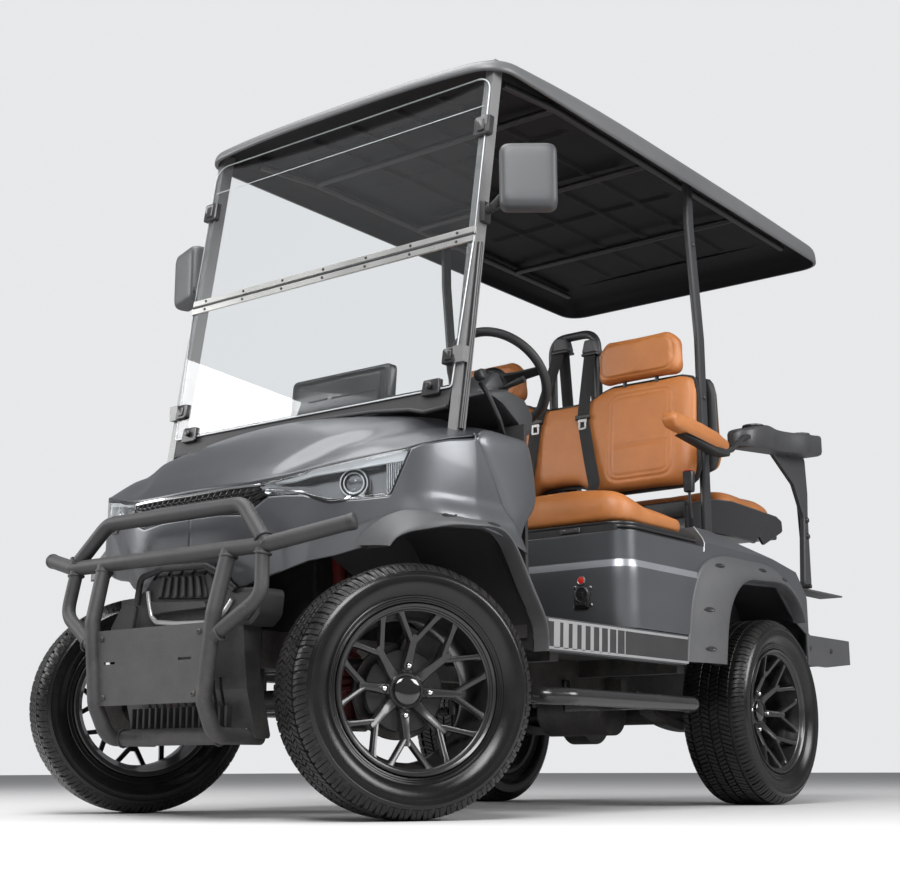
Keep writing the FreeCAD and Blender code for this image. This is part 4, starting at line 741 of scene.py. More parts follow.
def wheelMatrix(side, front):
    turn = Matrix.Rotation(math.radians(-wheel["restSteer"] if front else 0), 4, "Z")
    outward = Matrix.Rotation(math.radians(90 * side), 4, "Y")
    spin = Matrix.Rotation(math.radians(-wheel["spokeTurn"] * side), 4, "Z")
    if front:
        base = at(side * wheel["kingpinX"], 0,
                  wheel["axleHeight"]) + turn.to_3x3() @ Vector((side * wheel["offset"] / 1000, 0, 0))
    else:
        base = at(side * wheel["rearX"], wheel["rearY"], wheel["axleHeight"])
    return Matrix.Translation(base) @ turn @ outward @ spin


for side, sideName in sides:
    for front, endName in ((True, "front"), (False, "rear")):
        where = f"{endName}_{sideName.lower()}"
        for part, mesh in wheelMeshes.items():
            piece = placeObject(f"{part}{endName.title()}{sideName}", mesh)
            piece.matrix_world = wheelMatrix(side, front)
            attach(piece, f"wheel_{where}")
            if part == "tyre":
                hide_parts(f"tyre_{where}")
            if part == "wheelRim":
                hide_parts(f"rim_{where}")
print("wheels ready")


# Splines for the front body
class Spline:
    # natural cubic through (key, value) pairs
    def __init__(self, pairs):
        self.keys, self.values = [k for k, v in pairs], [v for k, v in pairs]
        count = len(pairs)
        gaps = [b - a for a, b in zip(self.keys, self.keys[1:])]
        lower, bends = [0.0] * count, [0.0] * count
        for i in range(1, count - 1):
            before, here, after = self.values[i - 1:i + 2]
            rise = 3 * ((after - here) / gaps[i] - (here - before) / gaps[i - 1])
            pivot = 2 * (gaps[i - 1] + gaps[i]) - gaps[i - 1] * lower[i - 1]
            lower[i] = gaps[i] / pivot
            bends[i] = (rise - gaps[i - 1] * bends[i - 1]) / pivot
        for i in range(count - 2, 0, -1):
            bends[i] -= lower[i] * bends[i + 1]
        self.gaps, self.bends = gaps, bends

    def __call__(self, key):
        i = 0
        while i < len(self.gaps) - 1 and key > self.keys[i + 1]:
            i += 1
        d, h = key - self.keys[i], self.gaps[i]
        low, high = self.bends[i:i + 2]
        slope = (self.values[i + 1] - self.values[i]) / h - h * (2 * low + high) / 3
        return self.values[i] + slope * d + low * d * d + (high - low) / (3 * h) * d ** 3


body = {
    "halfWidth": 600, "hoodRearY": 247, "hoodDrop": 108, "hoodPower": 2.13, "sideY": 118,
    "plan": [(0, -257), (214, -243), (400, -162), (545, -61), (600, 118)],
    "hoodLine": [(-287, 761), (-257, 791), (-185, 856), (-64, 956), (165, 1039), (247, 1054), (357, 1062),
                 (467, 1064)],
    "crease": [(-257, 250), (-238, 256), (-171, 266), (-136, 290), (-101, 314), (-73, 346), (-20, 393), (66, 424),
               (160, 430), (247, 425)],
}


def buildPlan():
    full = [(-x, y) for x, y in reversed(body["plan"][1:])] + body["plan"]
    keys = [0.0]
    for a, b in zip(full, full[1:]):
        keys.append(keys[-1] + math.hypot(b[0] - a[0], b[1] - a[1]))
    alongX = Spline([(k, p[0]) for k, p in zip(keys, full)])
    alongY = Spline([(k, p[1]) for k, p in zip(keys, full)])
    middle, last = keys[len(body["plan"]) - 1], keys[-1]
    samples, arc, steps = [(0.0, alongX(middle), alongY(middle))], 0.0, 500
    for i in range(1, steps + 1):
        key = mix(middle, last, i / steps)
        x, y = alongX(key), alongY(key)
        arc += math.hypot(x - samples[-1][1], y - samples[-1][2])
        samples.append((arc, x, y))
    return samples


planSamples = buildPlan()
planEnd = planSamples[-1][0]


def planPoint(s):
    # place and outward direction at arc length s from the middle, straight back beyond the curve
    side = -1 if s < 0 else 1
    s = abs(s)
    if s >= planEnd:
        return body["halfWidth"] * side, planSamples[-1][2] + s - planEnd, side, 0.0
    i = min(len(planSamples) - 2, int(s / planEnd * (len(planSamples) - 1)))
    while i > 0 and planSamples[i][0] > s:
        i -= 1
    while i < len(planSamples) - 2 and planSamples[i + 1][0] < s:
        i += 1
    a, b = planSamples[i], planSamples[i + 1]
    t = (s - a[0]) / (b[0] - a[0])
    dx, dy = b[1] - a[1], b[2] - a[2]
    size = math.hypot(dx, dy)
    return mix(a[1], b[1], t) * side, mix(a[2], b[2], t), dy / size * side, -dx / size


def onPlan(s, z, out=0.0):
    x, y, nx, ny = planPoint(s)
    return at(x + nx * out, y + ny * out, z)


planXs, planYs = [x for arc, x, y in planSamples], [y for arc, x, y in planSamples]


def planY(x):
    x = abs(x)
    for i in range(len(planXs) - 1):
        if planXs[i + 1] >= x:
            return mix(planYs[i], planYs[i + 1], (x - planXs[i]) / max(1e-6, planXs[i + 1] - planXs[i]))
    return planYs[-1]


hoodLine = Spline(body["hoodLine"])
creaseLine = Spline(body["crease"])


def hoodHeight(x, y):
    base = hoodLine(y) - body["hoodDrop"] * abs(x / body["halfWidth"]) ** body["hoodPower"]
    edge = smoothStep(0, 60, y - planY(x)) * smoothStep(0, 50, body["halfWidth"] - abs(x) + max(0, 90 - y) * 0.4)
    off = abs(x) - creaseLine(y)
    bulge = 7 * (1 - smoothStep(-30, 16, off)) - 7 * math.exp(-((off - 42) / 34) ** 2)
    spine = 3.5 * math.exp(-(x / 130) ** 2)
    return base + (bulge + spine) * edge


# Lamp and panel borders as (arc length, height)
lampTop = [(221, 789), (313, 804), (355, 817), (474, 840), (598, 866)]
lampLow = [(221, 789), (229, 772), (240, 762), (285, 758), (338, 757), (399, 739), (475, 741), (541, 747), (549, 752),
           (598, 866)]
grilleLow = [(0, 724), (93, 723), (176, 716), (200, 724), (247, 756)]
noseLow = [(0, 606), (104, 606), (123, 586), (137, 560), (158, 543), (174, 544), (276, 577), (345, 602), (415, 612),
           (545, 643),
           (604, 664), (660, 678), (745, 686), (787, 688), (850, 676), (900, 650), (950, 606)]
skinTop = [(0, 724), (93, 723), (176, 716), (200, 724), (247, 756), (285, 757), (338, 756), (399, 738), (475, 740),
           (541, 746),
           (551, 753), (598, 866), (627, 878), (700, 897), (787, 912)]
skinEnd = skinTop[-1][0]  # arc length where the skin meets the straight side


def skinOffset(s, z):
    # creased panels: a forward centre, a light upper facet and a dark undercut below it
    creaseS = alongLine([(600, 225), (656, 242), (705, 290), (752, 340)], z)
    edgeZ = alongLine([(0, 655), (230, 636), (281, 633), (414, 667), (470, 681), (552, 706), (620, 716), (760, 722),
                       (1060, 722)], s)
    out = -0.14 * max(0.0, min(s - creaseS, 110)) * (1 - smoothStep(330, 470, s))
    under = max(0.0, edgeZ - z)
    out -= 0.30 * min(under, 60) * (1 - smoothStep(480, 640, s)) + 0.05 * max(0,
            under - 60) * (1 - smoothStep(480, 640, s))
    out += 20 * smoothStep(540, 700, s) * (1 - smoothStep(700, 765, z))
    out += 5 * smoothStep(600, 760, s) * math.sin(math.pi * min(1, max(0, (z - 740) / 180)))
    return out


def seamY(z):
    return 125 + (skinTop[-1][1] - z) * 0.70


def buildSkin(side):
    shape, rows, steps = Shape(), [], 34
    stations = sorted({i * 6.0 for i in range(131)} | {s for s, z in skinTop + noseLow if s <= skinEnd} | {skinEnd})
    for s in stations:
        low, high = alongLine(noseLow, s), alongLine(skinTop, s)
        rows.append([onPlan(side * s, mix(low, high, j / steps), skinOffset(s, mix(low, high, j / steps)))
                     for j in range(steps + 1)])
    for k in range(1, 13):
        row = []
        for j in range(steps + 1):
            z = mix(alongLine(noseLow, skinEnd + k * 10), skinTop[-1][1] + k * 1.2, j / steps)
            s = skinEnd + k / 12 * (seamY(z) - body["sideY"])
            row.append(onPlan(side * s, z, skinOffset(s, z)))
        rows.append(row)
    if side < 0:
        rows.reverse()
    shape.grid(rows)
    return shape


for side, sideName in sides:
    skin = buildSkin(side).piece(f"frontSkin{sideName}", "bodyPaint", stands=("front_cowl",), slot="body_paint",
                                 smooth=40)
    modify(skin, "SOLIDIFY", thickness=0.004, offset=-1)


def buildHood():
    shape, rows = Shape(), []
    for i in range(101):
        x = -598 + 1196 * i / 100
        front = planY(x) + 2
        row = []
        for j in range(61):
            t = 1 - (1 - j / 60) ** 1.5
            y = mix(front, body["hoodRearY"], t)
            row.append(at(x, y, hoodHeight(x, y)))
        rows.append(row)
    shape.grid(rows[::-1])
    return shape


hood = buildHood().piece("hoodShell", "hoodPaint", stands=("hood",), slot="hood_paint", smooth=50)
modify(hood, "SOLIDIFY", thickness=0.005, offset=-1)


# Cheek panels behind the seam, with their own rounded edge
def buildCheek(side):
    shape, rows = Shape(), []
    levels = [(942, 193, 352), (936, 150, 360), (912, 128, 366), (889, 144, 374), (840, 178, 382), (789, 214, 391),
              (757, 236, 358),
              (729, 256, 330), (702, 275, 312), (660, 290, 305)]
    for k, (z, front, rear) in enumerate(levels):
        row = []
        for j in range(15):
            t = j / 14
            y = mix(front, rear, t)
            rounding = 7 * (max(0, abs(t - 0.5) - 0.36) / 0.14) ** 2
            x = 594 - rounding - 10 * (k == 0) - 2 * (k == 1) + 5 * math.sin(math.pi * t) * (1 if 1 < k < 8 else 0)
            row.append(at(side * x, y + 3, z))
        rows.append(row)
    shape.grid(rows[::side])
    return shape


for side, sideName in sides:
    cheek = buildCheek(side).piece(f"cheekPanel{sideName}", "bodyPaint", slot="body_paint", smooth=50)
    modify(cheek, "SOLIDIFY", thickness=0.012, offset=-1)
    modify(cheek, "SUBSURF", levels=1, render_levels=1)


# Headlamps: clear cover, bright bowl, white strip, ribbed outer block and two rings round one eye
def lampGrid(side, out, dish=0.0):
    rows, count, steps = [], 44, 10
    for i in range(count + 1):
        s = mix(222.5, 597, i / count)
        low, high = alongLine(lampLow, s), alongLine(lampTop, s)
        row = []
        for j in range(steps + 1):
            t = j / steps
            deep = dish * smoothStep(0, 0.3, min(t, 1 - t) * 2) * smoothStep(225, 330,
                    s) * (1 - smoothStep(560, 597, s))
            row.append(onPlan(side * s, mix(low, high, t), out - deep))
        rows.append(row)
    return rows


def buildLamp(side, sideName):
    shape = Shape()
    shape.grid(lampGrid(side, -3, dish=62)[::side])
    bowl = shape.piece(f"lampBowl{sideName}", "bowlDark", stands=("headlamps",), slot="lamp_housing", smooth=45)
    modify(bowl, "SOLIDIFY", thickness=0.003, offset=-1)
    shape = Shape()
    shape.grid(lampGrid(side, 0.5)[::side])
    cover = shape.piece(f"lampCover{sideName}", "clearLens", stands=("headlamp_lenses",), slot="lamp_lens", smooth=45)
    modify(cover, "SOLIDIFY", thickness=0.0025, offset=-1)
    shape, rows = Shape(), []
    for i in range(41):
        s = mix(262, 590, i / 40)
        high = alongLine(lampTop, s) - 3
        low = high - mix(5, 24, (s - 262) / 328)
        rows.append([onPlan(side * s, low, -22), onPlan(side * s, low, -9), onPlan(side * s, high, -6),
                     onPlan(side * s, high, -22)])
    shape.grid(rows[::side], closeColumns=True)
    shape.piece(f"lampStrip{sideName}", "lightBar", smooth=40)
    shape = Shape()
    for i in range(9):
        s = 537 + i * 5.6
        low, high = max(alongLine(lampLow, s + 3) + 5, 752), alongLine(lampTop, s) - 25
        ring = []
        for z in (low, high):
            ring.append([onPlan(side * (s + a), z, o) for a, o in ((0, -30), (0.6, -12), (2.2, -8.5), (3.8, -12),
                    (4.4, -30))])
        shape.grid(ring[::side])
    shape.piece(f"lampRibs{sideName}", "lightBar", smooth=60)
    shape = Shape()
    eyeS, eyeZ = 455, 785
    matrix = discMatrix(onPlan(side * eyeS, eyeZ, -24), (*planPoint(side * eyeS)[2:], 0))
    for r in (27, 36):
        lathe(shape, [(r - 4, -30), (r, -28), (r + 1, 2), (r - 1, 5), (r - 4, 4.5), (r - 5, 0), (r - 6, -20)], matrix,
              40)
    shape.piece(f"lampRings{sideName}", "chrome", smooth=40)
    shape = Shape()
    r = 21
    lathe(shape, [(r, -18), (r * 0.96, -9), (r * 0.8, -3), (r * 0.5, 1.5), (r * 0.2, 3), (0.1, 3.2)], matrix, 40)
    shape.piece(f"lampEyes{sideName}", "clearLens", smooth=60)
    shape = Shape()
    lowTrim = [onPlan(side * s, alongLine(lampLow, s) - 1, 0.5) for s in [232 + i * 6 for i in range(53)]]
    sweep(shape, lowTrim, slabSection(0.004, 0.006, 0.001), up=(0, 0, 1))
    topTrim = [onPlan(side * s, alongLine(lampTop, s) + 1, 0.5) for s in [225 + i * 6 for i in range(63)]]
    sweep(shape, topTrim, slabSection(0.003, 0.004, 0.0008), up=(0, 0, 1))
    outer = [onPlan(side * s, alongLine(lampLow, s), 0.5) for s in (541, 549, 560, 571, 585, 597)]
    sweep(shape, outer, slabSection(0.003, 0.006, 0.001))
    shape.piece(f"lampTrim{sideName}", "satinBlack", smooth=40)
    shape = Shape()
    wing = [(223, 788, 6), (236, 775, 5), (300, 770, 3), (345, 764, 1)]
    rows = [[onPlan(side * s, z + w, -5), onPlan(side * s, z, -2.5), onPlan(side * s, z - w, -5)] for s, z, w in wing]
    shape.grid(rows[::side])
    chrome = shape.piece(f"lampWing{sideName}", "chrome", smooth=50)
    modify(chrome, "SOLIDIFY", thickness=0.002, offset=-1)


for side, sideName in sides:
    buildLamp(side, sideName)


# Grille: dark backing, rows of slanted cells, and the bright strip over them
def grilleZ(s, t):
    low, high = alongLine(grilleLow, abs(s)) + 3, 782 + 3 * (abs(s) / 240)
    return mix(low, high, t)


def buildGrille():
    shape = Shape()
    shape.grid([[onPlan(s, grilleZ(s, t), -26) for t in (0, 0.5, 1)] for s in range(-240, 241, 6)])
    for t in (0.0, 0.33, 0.66, 1.0):
        line = [onPlan(s, grilleZ(s, t), -5) for s in range(-236, 237, 8)]
        sweep(shape, line, slabSection(0.014, 0.0042, 0.0012), up=(0, 0, 1))
    for row in range(3):
        for column in range(-11, 12):
            s = column * 21 + (10 if row % 2 else 0)
            if abs(s) > 224:
                continue
            lean = 7
            a, b = onPlan(s - lean, grilleZ(s - lean, row * 0.33), -5), onPlan(s + lean,
                    grilleZ(s + lean, row * 0.33 + 0.33), -5)
            sweep(shape, [a, b], slabSection(0.016, 0.0042, 0.0012))
            c, d = onPlan(s + 3, grilleZ(s + 3, row * 0.33 + 0.13), -3), onPlan(s + 13,
                    grilleZ(s + 13, row * 0.33 + 0.13), -3)
            sweep(shape, [c, d], slabSection(0.012, 0.0045, 0.0015), up=(0, 0, 1))
    return shape


buildGrille().piece("grilleMesh", "satinBlack", stands=("grille",), slot="black_plastic", smooth=30)
strip = Shape()
sweep(strip, [onPlan(s, 787 + 1.5 * (abs(s) / 223) - 1.5, 1.0) for s in range(-226, 227, 6)],
      slabSection(0.005, 0.0065, 0.0015), up=(0, 0, 1))
strip.piece("noseStrip", "chrome", smooth=40)
print("front body ready")


# Wheel flares: seated upper edge, raised face, rolled lip and a dark liner in the arch
flare = {
    "rows": 64, "linerRows": 40, "linerLift": 14,
    "frontOut": [(-140, 630), (-136, 652), (-100, 704), (-10, 721), (90, 715), (226, 698), (288, 648), (359, 556),
                 (404, 454), (392, 404)],
    "frontIn": [(-126, 622), (-116, 641), (-60, 664), (6, 679), (95, 686), (200, 680), (262, 618), (318, 540),
                (374, 450), (374, 404)],
    "rearOut": [(1157, 420), (1164, 445), (1201, 607), (1279, 716), (1408, 760), (1582, 765), (1840, 733),
                (1932, 632), (1942, 590)],
    "rearIn": [(1354, 420), (1358, 440), (1401, 595), (1505, 684), (1640, 700), (1798, 698), (1922, 604),
               (1928, 590)],
    "frontBolts": [(150, 697), (10, 706)],
    "rearBolts": [(1276, 585), (1266, 463), (1372, 726), (1640, 736), (1800, 722)],
}
flareProfile = [(0.0, -2), (0.0, 5), (0.02, 7.5), (0.06, 9), (0.14, 13), (0.3, 22), (0.5, 31), (0.7, 37.5),
                (0.86, 40.6), (0.95, 40.2), (0.99, 37), (1.0, 31),
                (1.0, 14), (1.0, -4)]


def sidePoint(y, out):
    # x on the body side moved outwards, smooth around the front corner
    if y >= body["sideY"]:
        return body["halfWidth"] + out
    low, high = 60.0, planEnd
    for step in range(26):
        middle = (low + high) / 2
        x, py, nx, ny = planPoint(middle)
        if py + ny * out < y:
            low = middle
        else:
            high = middle
    x, py, nx, ny = planPoint((low + high) / 2)
    return x + nx * out


def pathOf(points, count):
    # evenly spaced smooth places along a list of points
    keys = [0.0]
    for a, b in zip(points, points[1:]):
        keys.append(keys[-1] + math.hypot(b[0] - a[0], b[1] - a[1]))
    alongY, alongZ = Spline([(k, p[0]) for k, p in zip(keys, points)]), Spline([(k, p[1])
            for k, p in zip(keys, points)])
    return [(alongY(keys[-1] * i / count), alongZ(keys[-1] * i / count)) for i in range(count + 1)]


def rimPaths(end):
    return pathOf(flare[end + "Out"], flare["rows"]), pathOf(flare[end + "In"], flare["rows"])


def buildFlare(side, end):
    shape, rows = Shape(), []
    for (oy, oz), (iy, iz) in zip(*rimPaths(end)):
        row = []
        for w, out in flareProfile:
            y, z = mix(oy, iy, w), mix(oz, iz, w)
            row.append(at(side * sidePoint(y, out), y, z))
        rows.append(row)
    shape.grid(rows[::side])
    return shape


def addLiner(shape, side, inner, deep):
    # dark skin from the flare's inner edge in to the frame, with a plate at its end
    middle = sum(p[0] for p in inner) / len(inner)
    rows = []
    for y, z in pathOf(inner, flare["linerRows"]):
        away = math.hypot(y - middle, z - 250)
        y2, z2 = y + (y - middle) / away * 6, z + (z - 250) / away * flare["linerLift"]
        edge = sidePoint(y, 0) - 6
        row = []
        for x in (edge, edge - 8, edge - 20, (edge + deep) / 2, deep):
            t = min(1, (edge - x) / 20)
            row.append(at(side * x, mix(y, y2, t), mix(z, z2, t)))
        rows.append(row)
    shape.grid(rows[::side])
    shape.add([row[-1] for row in rows], [tuple(range(len(rows)))])


def flareSpot(side, rim, i, w):
    # a place on the flare's face, i along it and w across it
    (oy, oz), (iy, iz) = rim[0][i], rim[1][i]
    y, z = mix(oy, iy, w), mix(oz, iz, w)
    low = max(k for k in range(len(flareProfile) - 1) if flareProfile[k][0] <= w)
    (w0, out0), (w1, out1) = flareProfile[low], flareProfile[low + 1]
    return at(side * sidePoint(y, mix(out0, out1, (w - w0) / max(1e-6, w1 - w0))), y, z)


def addPockets(shape, side, rim, places):
    # oval bolt pockets sunk in the flare's face, each lying along the cart
    for y, z in places:
        spots = [(i, w / 20) for i in range(2, 62) for w in range(3, 13)]
        i, w = min(spots, key=lambda s: math.dist(at(0, y, z)[1:], flareSpot(side, rim, *s)[1:]))
        centre = flareSpot(side, rim, i, w)
        along = flareSpot(side, rim, i + 2, w) - flareSpot(side, rim, i - 2, w)
        normal = along.cross(flareSpot(side, rim, i, w + 0.04) - flareSpot(side, rim, i, w - 0.04)).normalized()
        normal *= side if normal.x > 0 else -side
        level = (Vector((0, 1, 0)) - normal * normal.y).normalized()
        matrix = Matrix((level, normal.cross(level), normal)).transposed().to_4x4()
        matrix = Matrix.Translation(centre + normal * 0.0008) @ matrix @ Matrix.Diagonal((1.7, 0.5, 1, 1))
        lathe(shape, [(15, -6), (14.5, 0.6), (12.5, 1.2), (10.5, 0.4), (9.5, -0.2), (0.1, -0.3)], matrix, 24)


for side, sideName in sides:
    liners, pockets = Shape(), Shape()
    for end, deep in (("front", 322), ("rear", 400)):
        buildFlare(side, end).piece(f"flare{end.title()}{sideName}", "flareGrey", stands=(f"{end}_flares",),
                                    slot="flare_plastic", smooth=50)
        addLiner(liners, side, flare[end + "In"], deep)
        addPockets(pockets, side, rimPaths(end), flare[end + "Bolts"])
    liners.piece(f"archLiners{sideName}", "blackMould", smooth=45)
    pockets.piece(f"flareBolts{sideName}", "satinBlack", smooth=50)


# Brush guard of bent tube with weld beads, closed ends, tabs and a blank plate
guard = {"radius": 19, "bend": 55, "face": -375, "segments": 24}


def weld(shape, centre, axis, radius):
    matrix = discMatrix(at(*centre), axis)
    points = [matrix @ local(radius + 0.8 * math.sin(i * 3.1), 2 * math.pi * i / 28, 0) for i in range(28)]
    sweep(shape, points, ringSection(0.0032, 6), closed=True)


def endCap(shape, centre, axis, radius):
    stud(shape, [(radius + 0.6, -16), (radius + 1.4, -2), (radius, 2), (radius * 0.7, 4.5), (radius * 0.3, 5.5),
                 (0.1, 5.8)], centre, axis, 24)


def buildGuard():
    r, bend, face, seg = guard["radius"], guard["bend"], guard["face"], guard["segments"]
    shape = Shape()
    tube(shape, [(-539, -256, 665), (-342, -338, 620), (342, -338, 620), (539, -256, 665)], r, bend, seg)
    tube(shape, [(-346, -338, 618), (-242, -316, 728), (242, -316, 728), (346, -338, 618)], r, bend, seg)
    tube(shape, [(-186, -300, 190), (186, -300, 190)], r, 0, seg)
    for s in (-1, 1):
        tube(shape, [(s * 222, -338, 620), (s * 215, face, 470), (s * 190, face, 270), (s * 186, face + 40, 190),
                     (s * 186, -185, 190)], r, bend, seg)
        tube(shape, [(s * 330, -338, 618), (s * 345, -352, 500), (s * 215, face, 415)], r - 2, bend, seg)
        slab(shape, box(s * 186 - 12, s * 186 + 12, 190, 349), "y", -209, -185, 0, 2)
        slab(shape, [(s * 205 - 18, 404), (s * 205 + 18, 404), (s * 205 + 14, 430), (s * 205 - 14, 430)], "y",
             face - 3, face + 4, 3, 1)
    return shape


def buildGuardTrim():
    welds, caps = Shape(), Shape()
    for s in (-1, 1):
        weld(welds, (s * 222, -340, 601), (0, 0.15, 1), 20.5)
        weld(welds, (s * 333, -339, 600), (0.1 * s, 0.1, 1), 18.5)
        weld(welds, (s * 232, -371, 420), (s, 0.2, 0.55), 18.5)
        weld(welds, (s * 168, -300, 190), (1, 0, 0), 20.5)
        weld(welds, (s * 330, -336, 636), (s * 0.6, -0.1, -0.8), 20.5)
        endCap(caps, (s * 539, -256, 665), (s * 0.91, 0.38, 0.21), 19)
    return welds, caps


buildGuard().piece("guardTubes", "guardGrey", stands=("brush_guard",), slot="guard_powder", smooth=50)
weldShape, capShape = buildGuardTrim()
weldShape.piece("guardWelds", "guardGrey", smooth=60)
capShape.piece("guardEndCaps", "gripBlack", smooth=50)
bolts = Shape()
for x, z in ((-172, 428), (172, 428), (-158, 286), (158, 286)):
    stud(bolts, [(7, 0), (7, 2), (5.5, 4), (3, 5), (2.6, 3.4), (0.1, 3.4)], (x, -378, z), (0, -1, 0), 16)
bolts.piece("plateBolts", "frameBlack", smooth=50)


# Lower front: vent box, silver surround, side pods and slotted skirt over the moulded valance
def buildVent():
    shape = Shape()
    outline = [(-65, 584), (88, 576), (102, 516), (-82, 528)]
    slab(shape, outline, "y", -291, -250, 8, 3)
    for i in range(6):
        t = (i + 0.5) / 6
        x0, x1 = mix(-62, 84, t), mix(-76, 96, t)
        z0, z1 = mix(580, 573, t), mix(531, 521, t)
        slab(shape, [(x0 - 5, z0), (x0 + 5, z0), (x1 + 5, z1), (x1 - 5, z1)], "y", -297, -289, 3, 2)
    return shape


buildVent().piece("ventBox", "satinBlack", smooth=35)
shape = Shape()
surround = [(-108, 548), (-104, 526), (-92, 486), (-74, 470), (0, 462), (110, 458), (140, 466), (168, 484),
            (190, 508)]
sweep(shape, [at(p.x, -293, p.y) for p in flatCorners(surround, 16, 4, False)], slabSection(0.012, 0.009, 0.003),
      up=(0, 1, 0))
shape.piece("ventSurround", "stripeSilver", smooth=45)
shape = Shape()
arch = [(-152, 520), (-140, 586), (-60, 602), (92, 596), (140, 574), (196, 530)]
sweep(shape, [at(p.x, -290, p.y) for p in flatCorners(arch, 26, 5, False)], slabSection(0.016, 0.014, 0.004),
      up=(0, 1, 0))
slab(shape, [(-97, 522), (96, 512), (112, 492), (-79, 489)], "y", -300, -262, 6, 3)
shape.piece("ventArch", "blackMould", smooth=45)


def buildPods():
    shape = Shape()
    for s, points in ((-1, [(-135, 526), (-208, 536), (-262, 462), (-246, 440), (-150, 444)]),
                      (1, [(190, 536), (276, 534), (268, 470), (240, 446), (146, 452)])):
        slab(shape, points, "y", -286, -196, 18, 7)
        inner = [(mix(x, sum(p[0] for p in points) / 5, 0.26), mix(z, sum(p[1] for p in points) / 5, 0.26))
                 for x, z in points]
        slab(shape, inner, "y", -292, -284, 10, 3)
    return shape


buildPods().piece("lowerPods", "blackMould", smooth=40)
shape = Shape()
for x in range(-165, 166, 22):
    slab(shape, box(x - 4, x + 4, 212, 262), "y", -281, -262, 2, 1.5)
shape.piece("skirtRibs", "blackMould", smooth=35)
print("guard and flares ready")


# Windscreen: two clear panes with bright edges, aluminium hinge strips, clips and a lower skirt
screen = {
    "bottomY": 140, "bottomZ": 1065, "topY": 297, "topZ": 1977, "hingeZ": 1493, "halfWidth": 535, "lowHalf": 513,
    "corner": 45,
}


def glassY(z):
    # the leaning screen's station at a height
    rise, run = screen["topZ"] - screen["bottomZ"], screen["topY"] - screen["bottomY"]
    return screen["bottomY"] + (z - screen["bottomZ"]) * run / rise


def leanSlab(shape, outline, low, high, radius=0.0, bevel=1.0):
    # plate lying on the leaning screen plane, low and high measured rearwards from it
    part = Shape()
    slab(part, outline, "y", low, high, radius, bevel)
    shape.add([Vector((v.x, v.y + glassY(v.z * 1000) / 1000, v.z)) for v in part.vertices], part.faces)


def leanPath(points, out, radius=0.0, closed=False):
    return [at(p.x, glassY(p.y) + out, p.y) for p in flatCorners(points, radius, 8, closed)]


def buildPane(points, radius, steps):
    shape = Shape()
    corners = flatCorners(points, radius, steps)
    shape.loft([[at(p.x, glassY(p.y) + w, p.y) for p in corners] for w in (0.4, 4.8)])
    shape.faces = [face[::-1] for face in shape.faces]
    return shape


w, hz, tz, corner = screen["halfWidth"], screen["hingeZ"], screen["topZ"], screen["corner"]
lowerLine = [(-screen["lowHalf"], screen["bottomZ"]), (screen["lowHalf"], screen["bottomZ"]), (w, hz - 3),
             (-w, hz - 3)]
turns = [(math.cos(i * math.pi / 16), math.sin(i * math.pi / 16)) for i in range(1, 8)]
flat = tz - corner
upperRound = [(-w, hz + 3), (w, hz + 3), (w, flat - 1)]
upperRound += [(w - corner + corner * c, flat + corner * s) for c, s in turns]
upperRound += [(w - corner - 1, tz), (-w + corner + 1, tz)]
upperRound += [(-w + corner - corner * s, flat + corner * c) for c, s in turns] + [(-w, flat - 1)]
buildPane(upperRound, 1, 1).piece("paneUpper", "clearPane", stands=("windscreen_upper",), slot="clear_screen",
                                  smooth=30)
buildPane(lowerLine, 10, 8).piece("paneLower", "clearPane", stands=("windscreen_lower",), slot="clear_screen",
                                  smooth=30)
edges = Shape()
sweep(edges, [at(x, glassY(z) + 2.5, z) for x, z in upperRound], slabSection(0.0056, 0.0034, 0.001), closed=True)
sweep(edges, leanPath(lowerLine, 2.5, 10, True), slabSection(0.0056, 0.0034, 0.001), closed=True)
sweep(edges, leanPath([(-w + 14, tz - 92), (w - 14, tz - 92)], 1.5), slabSection(0.003, 0.0022, 0.0006))
edges.piece("paneEdges", "paneEdge", smooth=30)
strips = Shape()
for low, high in ((hz - 22, hz - 4), (hz + 4, hz + 22)):
    leanSlab(strips, box(-w - 1, w + 1, low, high), -3, 8, 0, 1.5)
strips.piece("hingeStrips", "hingeAlloy", smooth=30)
shape = Shape()
sweep(shape, leanPath([(-w, hz), (w, hz)], 2), ringSection(0.0042, 10))
for i in range(7):
    x = mix(-480, 480, i / 6)
    for z in (hz - 13, hz + 13):
        stud(shape, [(4.5, 0), (4.2, 1.4), (2, 2.2), (0.1, 2.3)], (x, glassY(z) - 3, z), (0, -1, 0.17), 12)
shape.piece("hingePin", "satinBlack", smooth=40)


def buildClips():
    shape = Shape()
    for s in (-1, 1):
        for x, z, h, wide in ((527, 1819, 30, 26), (500, 1150, 22, 22)):
            leanSlab(shape, box(s * x - wide, s * x + wide, z - h, z + h), -9, 16, 8, 3)
            leanSlab(shape, box(s * x - wide * 0.45, s * x + wide * 0.45, z - h * 0.6, z + h * 0.6), -13, -7, 4, 2)
        leanSlab(shape, [(s * 450 - 30, 1050), (s * 450 + 30, 1050), (s * 450 + 26, 1094), (s * 450 - 26, 1094)], -7,
                 14, 6, 2)
        stud(shape, [(9, 0), (9, 8), (6, 11), (0.1, 11.5)], (s * 450, glassY(1074) - 7, 1074), (0, -1, 0.17), 16)
    return shape


